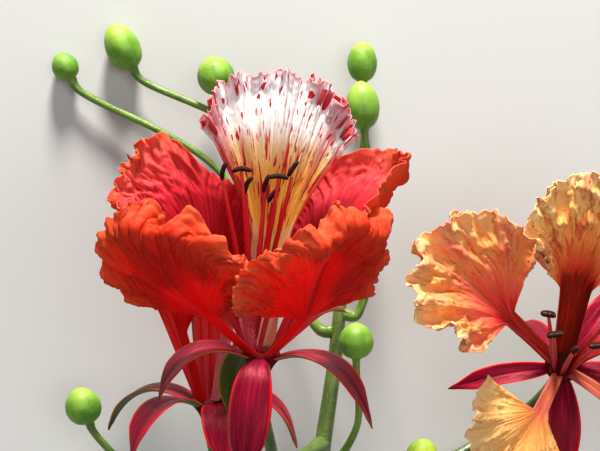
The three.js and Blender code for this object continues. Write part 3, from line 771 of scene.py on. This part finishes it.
def sepal_finish(name, deep, flush, margin, roughness):
    """Leathery skin: deep with long streaks of flush, margin along both edges, and fine grooves."""
    worn = (roughness - 0.06, roughness + 0.08)
    material, tree = new_finish(name)
    place = surface_map(tree)
    streak = noise(tree, place, 1.0, 4.0, 0.6, stretch=(12.0, 2.2, 1.0))
    skin = blend(tree, shade(tree, streak, 0.45, 0.75, 0.0, 0.8), deep, flush)
    fold = maths(tree, "PINGPONG", node(tree, "SeparateXYZ", {0: place}).outputs[0], 0.5)
    ragged = maths(tree, "MULTIPLY_ADD", streak, 0.10, fold)
    skin = blend(tree, shade(tree, ragged, 0.07, 0.14, 1.0, 0.0), skin, margin)
    groove = noise(tree, place, 1.0, 3.0, stretch=(60.0, 3.0, 1.0))
    surfaced(tree, {
        "Base Color": skin, "Roughness": shade(tree, groove, 0.3, 0.7, *worn),
        "Normal": raised(tree, groove, 0.45, 0.0003),
        "Specular IOR Level": 0.42, "Specular Tint": (1.0, 0.20, 0.26),
    })
    return material


sepal_face = sepal_finish(
    "sepal_face", (0.13, 0.001, 0.012), (0.42, 0.006, 0.024), (0.62, 0.005, 0.010), 0.34)
sepal_flame = sepal_finish(
    "sepal_flame", (0.42, 0.003, 0.010), (0.60, 0.008, 0.010), (0.66, 0.02, 0.008), 0.40)
sepal_back = sepal_finish(
    "sepal_back", (0.050, 0.075, 0.008), (0.10, 0.13, 0.012), (0.34, 0.20, 0.02), 0.42)
for name, specs in SEPALS.items():
    for k, spec in enumerate(specs, 1):
        surface = sepal_surface(*spec)
        rows, columns = surface.shape[:2]
        u, v = np.meshgrid(np.linspace(0, 1, rows), np.linspace(0, 1, columns), indexing="ij")
        to_edge = 0.18 + 0.82 * np.clip(1 - (2 * v - 1) ** 4, 0, 1)
        thickness = SEPAL_THICKNESS * to_edge * np.clip((1 - u) * 12, 0.2, 1)
        points, faces = sheet_skin(surface, thickness, np.stack([v, u], axis=-1))
        make_piece(
            f"{name}_sepal_strap_{k}", [(in_bloom(name, points), faces)],
            [sepal_flame if (name, k) == ("front", 3) else sepal_face, sepal_back],
            [f"{name}_sepal_{k}"],
        )


# A petal is a soft thin fan on a long narrow claw, with fine veins that spread from the claw.
# The red ones are crimson inside and scarlet outside, and orange along their ruffled rims. The
# orange is partly their own colour and partly painted sunlight and sheen, and on the back petals
# the dark crimson near the claw is painted shade and the pink past it is painted sunlight.
PETAL_THICKNESS = 0.5

# A pair is for the petal's right side and its left side, as it is seen from within the bloom.
# The angles of rise, fold and margin are at the seat, the claw's end, mid-blade and the rim.
CUPPED = [30, 30, 25, 10]
FLARED = [30, 30, 10, -20]
PETAL = {
    "claw": 18, "blade": 34, "fan": (60, 60), "round": (0.5, 0.5), "clawWidth": (1.7, 2.3),
    "seat": (3.7, -0.6), "fold": (CUPPED, CUPPED), "margin": (FLARED, FLARED), "pleats": (3, 1.2, 0),
    "roll": (60, 60, 60), "roll_from": (0.84, 0.84, 0.84), "hinge": 0, "frill": 1.2, "keel": 0,
    "teeth": 0.012, "crumple": 0.35, "crumple_from": 0.4, "notch": (0.0, 1.0, 2.0),
}

# The claw's share of the map. The creases are of three sizes, each with its depth and its share
# of the longest ones' length.
CLAW_SHARE = 0.35
CREASE_LENGTH = 7.0
CREASE_SIZES = [(1.0, 1.0), (0.5, 0.4), (0.3, 0.2)]


def waves(v, rho, counts, dice):
    """Sines across v with the given counts of waves, each with a random phase that drifts along rho."""
    total = 0.0
    for count in counts:
        phase, drift = dice.uniform(0, 2 * np.pi), dice.uniform(-1.5, 1.5)
        swing = 0.8 * np.sin(0.7 * v * count + dice.uniform(0, 2 * np.pi))
        total = total + np.sin(np.pi * count * v + phase + drift * rho + swing)
    return total / np.sqrt(len(counts))


def crumples(x, y, size, dice):
    """Creases as of crushed tissue: the absolute value of twelve crossed sines about size long."""
    total = 0.0
    for _ in range(12):
        angle, phase = dice.uniform(0, np.pi), dice.uniform(0, 2 * np.pi)
        count = 2 * np.pi / (size * dice.uniform(0.7, 1.5))
        total = total + np.sin(count * (x * np.cos(angle) + y * np.sin(angle)) + phase)
    return 0.8 - np.abs(total) / 2


def folded_over(points, rho, start, angle, hinge):
    """Blade turned over towards its outer side past the radius start, and hanging straight from there.

    Each step from row to row is turned about hinge by angle times a smooth step of rho, which
    goes from 0 at start to 1 at half of the way to the rim. The turned steps are then summed.
    """
    turn = -(angle * smooth_step((rho - start) / (0.5 * (1 - start))))[..., None]
    steps = np.diff(points, axis=0, prepend=points[:1])
    along = (steps @ hinge)[..., None] * hinge
    turned = steps * np.cos(turn) + np.cross(hinge, steps) * np.sin(turn) + along * (1 - np.cos(turn))
    return points[:1] + np.cumsum(turned, axis=0)


def petal_surface(spec, across, claw_rows, blade_rows):
    """Grid of a petal: v goes from -1 to 1 across, and rho from 0 to 1 out along its blade.

    A point of the fan-shaped blade lies at the angle v * fan and at a radius that falls towards
    the margin. Past a notch, a smooth step of v between two places, the radius is less by a share.
    The blade is folded across by the angles of fold and margin, and lifted by pleats and by a
    keel along its middle. It is rolled over by roll past the radius roll_from, both read at even
    places of v. Waves that deepen outwards ruffle it, and rays and fine crumples crease it.
    """
    spec = {**PETAL, **spec}
    dice = np.random.default_rng(spec["seed"])
    claw, blade = spec["claw"], spec["blade"]
    length = claw + blade
    stations = np.array([0, claw, claw + blade / 2, length])
    up = np.r_[np.linspace(0, 1, claw_rows, endpoint=False), np.ones(blade_rows)][:, None]
    rho = np.r_[np.zeros(claw_rows), np.linspace(0, 1, blade_rows)][:, None]
    v = np.linspace(-1, 1, across)[None, :]

    def either(pair):
        return np.where(v < 0, pair[0], pair[1])

    angle = v * np.radians(either(spec["fan"]))
    ragged = 1 + spec["teeth"] * waves(v, 0 * v, (17, 29, 43), dice)
    depth, near, past = spec["notch"]
    kept = 1 - depth * smooth_step((v - near) / (past - near))
    rounded = 1 - either(spec["round"]) * (1 - np.cos(np.pi / 2 * np.abs(v)))
    radius = blade * rounded * ragged * kept
    first, last = spec["clawWidth"]
    strip = v * (first + (last - first) * up)
    x = strip + (radius * np.sin(angle) - strip) * rho**1.25
    y = np.maximum(0, up * claw + radius * np.cos(angle) * rho)
    fold = np.radians(either([read_line(y, stations, angles) for angles in spec["fold"]]))
    rim = np.radians(either([read_line(y, stations, angles) for angles in spec["margin"]]))
    count, depth, phase = spec["pleats"]
    pleat = np.sin(np.pi * count * v + phase) + 0.45 * np.sin(1.7 * np.pi * count * v + 2.3 * phase)
    bend = fold + (rim - fold) * np.abs(v)
    rib = midrib(spec, length, stations, y)
    keel = spec["keel"] * np.sin(np.pi * np.clip(rho * 1.1, 0, 1)) * np.exp(-np.abs(v) / 0.3)
    points = bent_across(rib, x + OFF_MIDDLE, fold, bend, depth * rho**1.6 * pleat - keel)
    middle = across // 2
    tipped = np.radians(spec["hinge"])
    ahead = unit(points[-1, middle] - points[0, middle])
    hinge = unit(rib[1][0, middle] * np.cos(tipped) + ahead * np.sin(tipped))
    places = np.linspace(-1, 1, len(spec["roll"]))
    start = np.interp(v, places, spec["roll_from"]) + 0.02 * waves(v, 0, (3, 7), dice)
    roll = np.radians(np.interp(v, places, spec["roll"])) * (1 + 0.22 * waves(v, 0, (5, 9), dice))
    points = folded_over(points, rho, start, roll, hinge)
    inner = facing(points)
    outward = np.clip((rho - 0.45) / 0.55, 0, 1) ** 1.7
    ruffles = waves(v, 1.5 * rho, (4, 7), dice) + 0.5 * waves(v, 1.5 * rho, (11, 17), dice)
    frill = spec["frill"] * outward * ruffles
    rays = 0.24 * rho * waves(v, rho, (23, 37, 53), dice) * (0.3 + rho)
    arc, far = angle * blade * 0.7 + 0 * rho, rho * blade * 0.45 + 0 * v
    crushed = 0.0
    for depth, size in CREASE_SIZES:
        crushed = crushed + depth * crumples(arc, far, size * CREASE_LENGTH, dice)
    creases = spec["crumple"] * np.clip((rho * kept - spec["crumple_from"]) * 4, 0, 1) * crushed
    along = np.where(rho > 0, CLAW_SHARE + (1 - CLAW_SHARE) * rho * kept, CLAW_SHARE * up)
    chart = np.stack([(v + 1) / 2 + 0 * along, along + 0 * v], axis=-1)
    to_rim = (0.35 + 0.65 * np.clip(1 - rho**6, 0, 1)) * np.clip(1.3 - v**6, 0, 1)
    thickness = PETAL_THICKNESS * (1 + 1.2 * (1 - up)) * to_rim
    return points + inner * (frill + rays + creases)[..., None], thickness, chart


def vein_group():
    """Group for petals: Lines is 1 on fine veins that run from claw to rim, Height is their relief."""
    group = bpy.data.node_groups.new("petal_veins", "ShaderNodeTree")
    sockets = group.interface
    sockets.new_socket("Map", in_out="INPUT", socket_type="NodeSocketVector")
    for name, value in (("Count", 60.0), ("Spread", 0.5)):
        sockets.new_socket(name, in_out="INPUT", socket_type="NodeSocketFloat").default_value = value
    for name in ("Lines", "Cloud", "Height"):
        sockets.new_socket(name, in_out="OUTPUT", socket_type="NodeSocketFloat")
    given = group.nodes.new("NodeGroupInput").outputs
    across, along, _ = node(group, "SeparateXYZ", {0: given["Map"]}).outputs
    wide = maths(group, "MULTIPLY", across, given["Count"])
    tall = maths(group, "MULTIPLY", along, 3.0)
    thread = noise(group, node(group, "CombineXYZ", {0: wide, 1: tall}).outputs[0], 1.0, 3.0, 0.55)
    lines = shade(group, thread, 0.5, 0.72)
    slow = maths(group, "MULTIPLY", across, 7.0)
    cloud = noise(group, node(group, "CombineXYZ", {0: slow, 1: tall}).outputs[0], 1.3, 3.0, 0.6)
    height = maths(group, "MULTIPLY_ADD", lines, given["Spread"], cloud)
    result = group.nodes.new("NodeGroupOutput")
    for name, value in (("Lines", lines), ("Cloud", cloud), ("Height", height)):
        group.links.new(value, result.inputs[name])
    return group


petal_veins = vein_group()


def petal_light(tree, skin, through, share, height):
    """Soft sheet: a satin surface in the colour skin, and share of the light let through, coloured."""
    normal = raised(tree, height, 0.7, 0.0005)
    satin = node(tree, "BsdfPrincipled", {
        "Base Color": skin, "Roughness": 0.6, "Normal": normal, "Specular IOR Level": 0.18,
    })
    glow = node(tree, "BsdfTranslucent", {"Color": through, "Normal": normal})
    both = node(tree, "MixShader", {0: share, 1: satin.outputs[0], 2: glow.outputs[0]})
    node(tree, "OutputMaterial", {"Surface": both.outputs[0]})


def veined(tree, place, count):
    """Outputs of the veins' group on the map place, with count veins across."""
    made = node(tree, "Group", node_tree=petal_veins)
    tree.links.new(place, made.inputs["Map"])
    made.inputs["Count"].default_value = count
    return made.outputs


def petal_finish(
    name, stops, vein, blotch, through=(0.92, 0.012, 0.004), count=70.0, share=0.42, patch=(0.42, 0.68),
):
    """Colours of stops from claw to rim with a ragged border, veins of vein, and patches of blotch."""
    material, tree = new_finish(name)
    place = surface_map(tree)
    veins = veined(tree, place, count)
    along = node(tree, "SeparateXYZ", {0: place}).outputs[1]
    reach = maths(tree, "MULTIPLY_ADD", maths(tree, "SUBTRACT", veins["Cloud"], 0.5), 0.28, along)
    skin = ramp(tree, reach, stops)
    skin = blend(tree, shade(tree, veins["Cloud"], *patch, 0.0, 0.65), skin, blotch)
    skin = blend(tree, shade(tree, veins["Lines"], 0.0, 1.0, 0.0, 0.45), skin, vein)
    petal_light(tree, skin, through, share, veins["Height"])
    return material


FRONT_PETALS = {
    "right": {
        "from": -60, "azimuth": -48, "claw": 18, "blade": 37.5, "fan": (92, 84), "round": (0.52, 0.39),
        "rise": [43, 48, 56, 57], "twist": [0, -12, -15], "swerve": -8, "keel": -5.0,
        "fold": ([5, 0, -5, -5], [35, 40, 35, 25]), "margin": ([10, 15, 5, -10], [15, 0, -15, -35]),
        "roll": (80, 95, 110, 110, 110), "roll_from": (0.78, 0.84, 0.75, 0.66, 0.58), "hinge": 4,
        "pleats": (3, 1.6, 0.4), "frill": 1.5, "crumple": 0.5, "seed": 11,
    },
    "left": {
        "from": -122, "azimuth": -148, "claw": 17.5, "blade": 39, "fan": (60, 80), "round": (0.49, 0.71),
        "rise": [40, 43, 55, 58], "twist": [0, 12, 14], "swerve": -4, "keel": 3.0,
        "fold": ([-15, -20, -20, -10], [20, 20, 15, 10]),
        "margin": ([-10, -20, -25, -30], [10, 0, -5, -20]),
        "roll": (10, 20, 120, 125, 110), "roll_from": (0.84, 0.84, 0.70, 0.71, 0.72), "hinge": -6,
        "pleats": (3, 1.1, 1.4), "frill": 1.4, "crumple": 0.45, "seed": 12,
    },
    "back_left": {
        "from": 160, "azimuth": 167, "claw": 20.2, "blade": 37.5, "fan": (94, 52), "round": (0.42, 0.40),
        "notch": (0.28, -0.13, -0.32), "clawWidth": (2.4, 4.6),
        "rise": [62, 58, 54, 32], "twist": [-20, -30, -36], "roll": (20, 30, 40),
        "pleats": (3, 1.2, 2.4), "frill": 1.3, "crumple": 0.7, "crumple_from": 0.5, "seed": 13,
    },
    "back_right": {
        "from": 20, "azimuth": 22, "claw": 19.6, "blade": 40.5, "fan": (62, 82), "round": (0.5, 0.7),
        "notch": (0.24, 0.20, 0.45), "clawWidth": (1.8, 3.4),
        "rise": [66, 59, 53, 26], "roll": (90, 60, 50), "roll_from": (0.72, 0.8, 0.84),
        "pleats": (3, 1.2, 3.4), "frill": 1.2, "crumple": 0.5, "crumple_from": 0.6, "seed": 14,
    },
}
# Front faces: the orange that grows towards the rim is partly the petals' own colour and partly painted
# sunlight on the lit rims.
scarlet_face = petal_finish(
    "scarlet_face",
    [(0.0, (0.45, 0.01, 0.02)), (0.45, (0.46, 0.001, 0.003)), (0.66, (0.66, 0.012, 0.004)),
     (0.80, (0.74, 0.055, 0.016)), (0.94, (0.78, 0.10, 0.032)), (1.0, (0.84, 0.17, 0.06))],
    (0.50, 0.004, 0.003), (0.66, 0.014, 0.005))
# Outer faces: the orange towards the rim is partly the petals' own colour and partly painted sunlight and
# sheen.
scarlet_back = petal_finish(
    "scarlet_back",
    [(0.0, (0.50, 0.008, 0.012)), (0.35, (0.60, 0.003, 0.003)), (0.62, (0.64, 0.003, 0.002)),
     (0.77, (0.66, 0.028, 0.008)), (0.90, (0.76, 0.085, 0.024)), (1.0, (0.84, 0.17, 0.06))],
    (0.42, 0.001, 0.003), (0.44, 0.001, 0.002), share=0.46)
# Inner faces of the back petals: crimson near the claw, deepened as painted shade, then past a sharp step
# between 0.70 and 0.755 a pink and orange outer part that is painted sunlight.
crimson_face_painted_shade_and_sun = petal_finish(
    "crimson_face_painted_shade_and_sun",
    [(0.0, (0.40, 0.01, 0.02)), (0.40, (0.28, 0.0004, 0.006)), (0.70, (0.32, 0.0008, 0.009)),
     (0.755, (0.60, 0.016, 0.035)), (0.90, (0.72, 0.08, 0.07)), (1.0, (0.78, 0.15, 0.06))],
    (0.30, 0.001, 0.012), (0.40, 0.002, 0.010), (0.80, 0.006, 0.020), share=0.26)
FRONT_FACES = {
    "right": scarlet_face, "left": scarlet_face, "back_left": crimson_face_painted_shade_and_sun, "back_right": crimson_face_painted_shade_and_sun,
}


def make_petal(bloom, name, spec, grid, finishes):
    """The piece of one petal, on a grid of so many points across, up its claw and out its blade."""
    points, faces = sheet_skin(*petal_surface(spec, *grid))
    fan = (in_bloom(bloom, points), faces)
    make_piece(f"{bloom}_petal_fan_{name}", [fan], finishes, [f"{bloom}_petal_{name}"])


for name, spec in FRONT_PETALS.items():
    make_petal("front", name, spec, (240, 26, 120), [FRONT_FACES[name], scarlet_back])


# The front bloom's standard is its fifth petal, upright behind the stamens. Its face is white
# and cream with a yellow throat, splashed with crimson in long streaks and short dashes, its
# sides are rolled in so that their crimson back shows, and its rim is finely frilled.
FLAT = [0, 0, 0, 0]
PLEAT_COUNT = 5
PLEAT_PHASE = 0.2
STANDARD = {
    "azimuth": 90, "claw": 28, "blade": 42, "fan": (32, 42), "round": (0.20, 0.16),
    "clawWidth": (3.6, 6.2), "seat": (3.6, -0.6), "rise": [78, 82, 88, 38], "swerve": -8,
    "fold": (FLAT, FLAT), "margin": ([60, 73, 58, 12], [60, 74, 64, 22]), "roll": (50, 30, 50),
    "pleats": (PLEAT_COUNT, 1.5, PLEAT_PHASE), "frill": 1.0, "teeth": 0.022, "crumple": 0.2,
    "crumple_from": 0.6, "seed": 21,
}


def streaks(tree, across, along, count, length, low, high):
    """Brush marks drawn out from claw to rim: 1 where a stretched noise passes low, full at high."""
    wide = maths(tree, "MULTIPLY", across, count)
    tall = maths(tree, "MULTIPLY", along, length)
    place = node(tree, "CombineXYZ", {0: wide, 1: tall, 2: count}).outputs[0]
    return shade(tree, noise(tree, place, 1.0), low, high)


# For each set of marks how many fit across and along, how sparse they are, and where along the
# petal they begin and end.
MARKS = [
    (10.0, 2.0, 0.02, 0.08, 0.32),
    (22.0, 5.0, 0.03, 0.36, 0.58),
    (32.0, 7.0, 0.03, 0.56, 0.70),
    (54.0, 11.0, 0.11, 0.70, 1.0),
    (62.0, 13.0, 0.10, 0.50, 1.0),
]
CRIMSON = (0.46, 0.004, 0.020)


def splashed_finish():
    """White above, yellow in the throat, cream on the claw; streaks below, dashes above, pink in the
    valleys of the flanks' pleats, which is partly painted shade.
    """
    material, tree = new_finish("splashed_white")
    place = surface_map(tree)
    veins = veined(tree, place, 90.0)
    across, along, _ = node(tree, "SeparateXYZ", {0: place}).outputs

    def times(*values):
        product = values[0]
        for value in values[1:]:
            product = maths(tree, "MULTIPLY", product, value)
        return product

    flank = maths(tree, "PINGPONG", across, 0.5)
    beside = maths(tree, "POWER", maths(tree, "MULTIPLY_ADD", flank, -2.0, 1.0), 2.0)
    reach = maths(tree, "MULTIPLY_ADD", beside, -0.14, along)
    skin = ramp(tree, reach, [
        (0.0, (0.60, 0.20, 0.12)), (0.10, (0.72, 0.42, 0.30)), (0.22, (0.78, 0.56, 0.34)),
        (0.40, (0.80, 0.42, 0.05)), (0.60, (0.82, 0.46, 0.08)), (0.70, (0.78, 0.58, 0.28)),
        (0.77, (0.80, 0.77, 0.73)), (0.90, (0.81, 0.79, 0.81)),
    ])
    # Pink laid in the valleys of the pleats on the flanks: partly the petal's own flush, partly painted
    # shade in the folds.
    turns = maths(tree, "MULTIPLY_ADD", across, 2 * np.pi * PLEAT_COUNT, PLEAT_PHASE)
    valley = shade(tree, maths(tree, "SINE", turns), -0.6, 0.3, 1.0, 0.0)
    cloudy = shade(tree, veins["Cloud"], 0.36, 0.52)
    above = shade(tree, along, 0.52, 0.66)
    pink = times(shade(tree, flank, 0.08, 0.30, 0.55, 0.0), valley, cloudy, above)
    skin = blend(tree, pink, skin, (0.66, 0.03, 0.07))
    below_rim = shade(tree, along, 0.84, 0.96, 1.0, 0.0)
    past_claw = shade(tree, along, 0.30, 0.42)
    edge = times(shade(tree, flank, 0.02, 0.06, 0.9, 0.0), below_rim, past_claw)
    skin = blend(tree, edge, skin, CRIMSON)
    marks = 0.0
    for count, length, cover, first, last in MARKS:
        drawn = streaks(tree, across, along, count, length, 0.53 + cover, 0.55 + cover)
        begin = shade(tree, along, first, first + 0.08)
        end = shade(tree, along, last, last + 0.12, 1.0, 0.0)
        marks = maths(tree, "MAXIMUM", marks, times(drawn, begin, end))
    skin = blend(tree, marks, skin, CRIMSON)
    ragged = maths(tree, "MULTIPLY_ADD", veins["Cloud"], 0.05, along)
    skin = blend(tree, shade(tree, ragged, 1.000, 1.022, 0.0, 0.6), skin, (0.66, 0.08, 0.11))
    petal_light(tree, skin, (0.90, 0.62, 0.36), 0.20, veins["Height"])
    return material


splashed_white = splashed_finish()
crimson_back = petal_finish(
    "crimson_back",
    [(0.0, (0.55, 0.02, 0.04)), (0.40, (0.60, 0.004, 0.012)), (0.85, (0.55, 0.002, 0.014)),
     (1.0, (0.75, 0.12, 0.14))],
    (0.38, 0.001, 0.010), (0.66, 0.02, 0.05), (0.80, 0.010, 0.030))
points, faces = sheet_skin(*petal_surface(STANDARD, 200, 30, 130))
fan = (in_bloom("front", points), faces)
make_piece(
    "front_standard_fan", [fan], [splashed_white, crimson_back], ["front_petal_standard"],
)


# The bloom behind on the left is younger and half open. Its petals are crimson, with claws that
# are paler and pinker behind, and their blades are still cupped together.
CURLED_IN = [105, 100, 80, 40]
LEFT_PETALS = {
    "front_right": {"azimuth": -55, "fan": (44, 44), "rise": [70, 70, 68, 50], "seed": 31},
    "front_left": {"azimuth": -125, "fan": (46, 46), "rise": [68, 68, 66, 50], "seed": 32},
    "back_left": {"azimuth": 162, "fan": (50, 50), "rise": [68, 68, 64, 40], "seed": 33},
    "back_right": {"azimuth": 20, "fan": (46, 46), "rise": [70, 68, 60, 40], "seed": 34},
    "standard": {
        "azimuth": 90, "blade": 30, "fan": (45, 45), "clawWidth": (2.6, 4.2), "seat": (3.8, -0.6),
        "rise": [78, 82, 84, 55], "fold": (FLAT, FLAT), "margin": (CURLED_IN, CURLED_IN), "seed": 35,
    },
}
blush_back = petal_finish(
    "blush_back",
    [(0.0, (0.80, 0.32, 0.34)), (0.28, (0.82, 0.34, 0.34)), (0.45, (0.70, 0.08, 0.06)),
     (0.85, (0.70, 0.012, 0.008)), (1.0, (0.86, 0.14, 0.06))],
    (0.50, 0.010, 0.02), (0.66, 0.03, 0.04), (0.90, 0.06, 0.06))
LEFT_BACKS = {
    "front_right": blush_back, "front_left": scarlet_back, "back_left": crimson_back,
    "back_right": blush_back, "standard": crimson_back,
}
for name, spec in LEFT_PETALS.items():
    shape = {"claw": 22, "blade": 27, "frill": 0.8, "crumple": 0.12, **spec}
    make_petal("left", name, shape, (90, 24, 60), [scarlet_face, LEFT_BACKS[name]])


# The bloom on the right is an older one that faces the viewer. Its petals have faded to orange
# and yellow, flushed red beside their dark claws, and are pleated like small fans.
CUPPED_CLAW = [105, 95, 50, 10]
RIGHT_PETALS = {
    "upper_left": {
        "azimuth": 150, "claw": 21, "blade": 34, "fan": (66, 66), "round": (0.34, 0.5),
        "clawWidth": (2.0, 2.6), "rise": [50, 42, 32, 10], "pleats": (6, 1.5, 0.6),
        "frill": 2.0, "crumple": 0.7, "seed": 41,
    },
    "lower_left": {
        "azimuth": -116, "claw": 15, "blade": 22, "fan": (86, 50), "round": (0.18, 0.3),
        "rise": [40, 15, -5, -30], "frill": 1.4, "seed": 42,
    },
    "lower_right": {"azimuth": -45, "rise": [40, 15, 0, -30], "seed": 43},
    "upper_right": {"azimuth": 18, "rise": [45, 30, 15, -10], "seed": 44},
    "standard": {
        "azimuth": 84, "claw": 27, "blade": 31, "fan": (56, 56), "clawWidth": (4.6, 6.6),
        "seat": (3.8, -0.6), "rise": [62, 58, 46, 4], "fold": (FLAT, FLAT),
        "margin": (CUPPED_CLAW, CUPPED_CLAW), "pleats": (5, 1.4, 2.0), "frill": 2.2, "crumple": 1.0,
        "seed": 45,
    },
}
faded_face = petal_finish(
    "faded_face",
    [(0.0, (0.22, 0.001, 0.005)), (0.34, (0.40, 0.002, 0.008)), (0.45, (0.72, 0.02, 0.02)),
     (0.60, (0.86, 0.15, 0.07)), (0.80, (0.90, 0.38, 0.10)), (1.0, (0.93, 0.60, 0.26))],
    (0.72, 0.04, 0.03), (0.80, 0.09, 0.08), (0.95, 0.34, 0.08), count=36.0, share=0.20)
faded_back = petal_finish(
    "faded_back",
    [(0.0, (0.50, 0.02, 0.04)), (0.35, (0.66, 0.06, 0.04)), (0.70, (0.88, 0.30, 0.08)),
     (1.0, (0.93, 0.52, 0.20))],
    (0.76, 0.10, 0.03), (0.84, 0.2, 0.07), (0.95, 0.34, 0.08), count=36.0, share=0.24)
yellow_face = petal_finish(
    "yellow_face",
    [(0.0, (0.66, 0.08, 0.09)), (0.34, (0.78, 0.13, 0.10)), (0.46, (0.86, 0.26, 0.06)),
     (0.64, (0.90, 0.48, 0.13)), (0.84, (0.92, 0.60, 0.22)), (1.0, (0.94, 0.68, 0.34))],
    (0.86, 0.32, 0.06), (0.88, 0.36, 0.08), (0.95, 0.50, 0.12), count=36.0, share=0.24)
spotted_face = petal_finish(
    "spotted_face",
    [(0.0, (0.14, 0.0006, 0.003)), (0.38, (0.20, 0.001, 0.004)), (0.47, (0.70, 0.06, 0.02)),
     (0.62, (0.88, 0.27, 0.06)), (0.80, (0.92, 0.50, 0.14)), (1.0, (0.93, 0.60, 0.26))],
    (0.70, 0.05, 0.02), (0.56, 0.006, 0.006), (0.95, 0.34, 0.08), count=30.0, share=0.10,
    patch=(0.52, 0.60))
RIGHT_FACES = {
    "upper_left": faded_face, "lower_left": yellow_face, "lower_right": yellow_face,
    "upper_right": faded_face, "standard": spotted_face,
}
for name, spec in RIGHT_PETALS.items():
    shape = {"frill": 1.3, "crumple": 0.3, "roll": (40, 30, 40), "teeth": 0.02, **spec}
    make_petal("right", name, shape, (160, 24, 90), [RIGHT_FACES[name], faded_back])
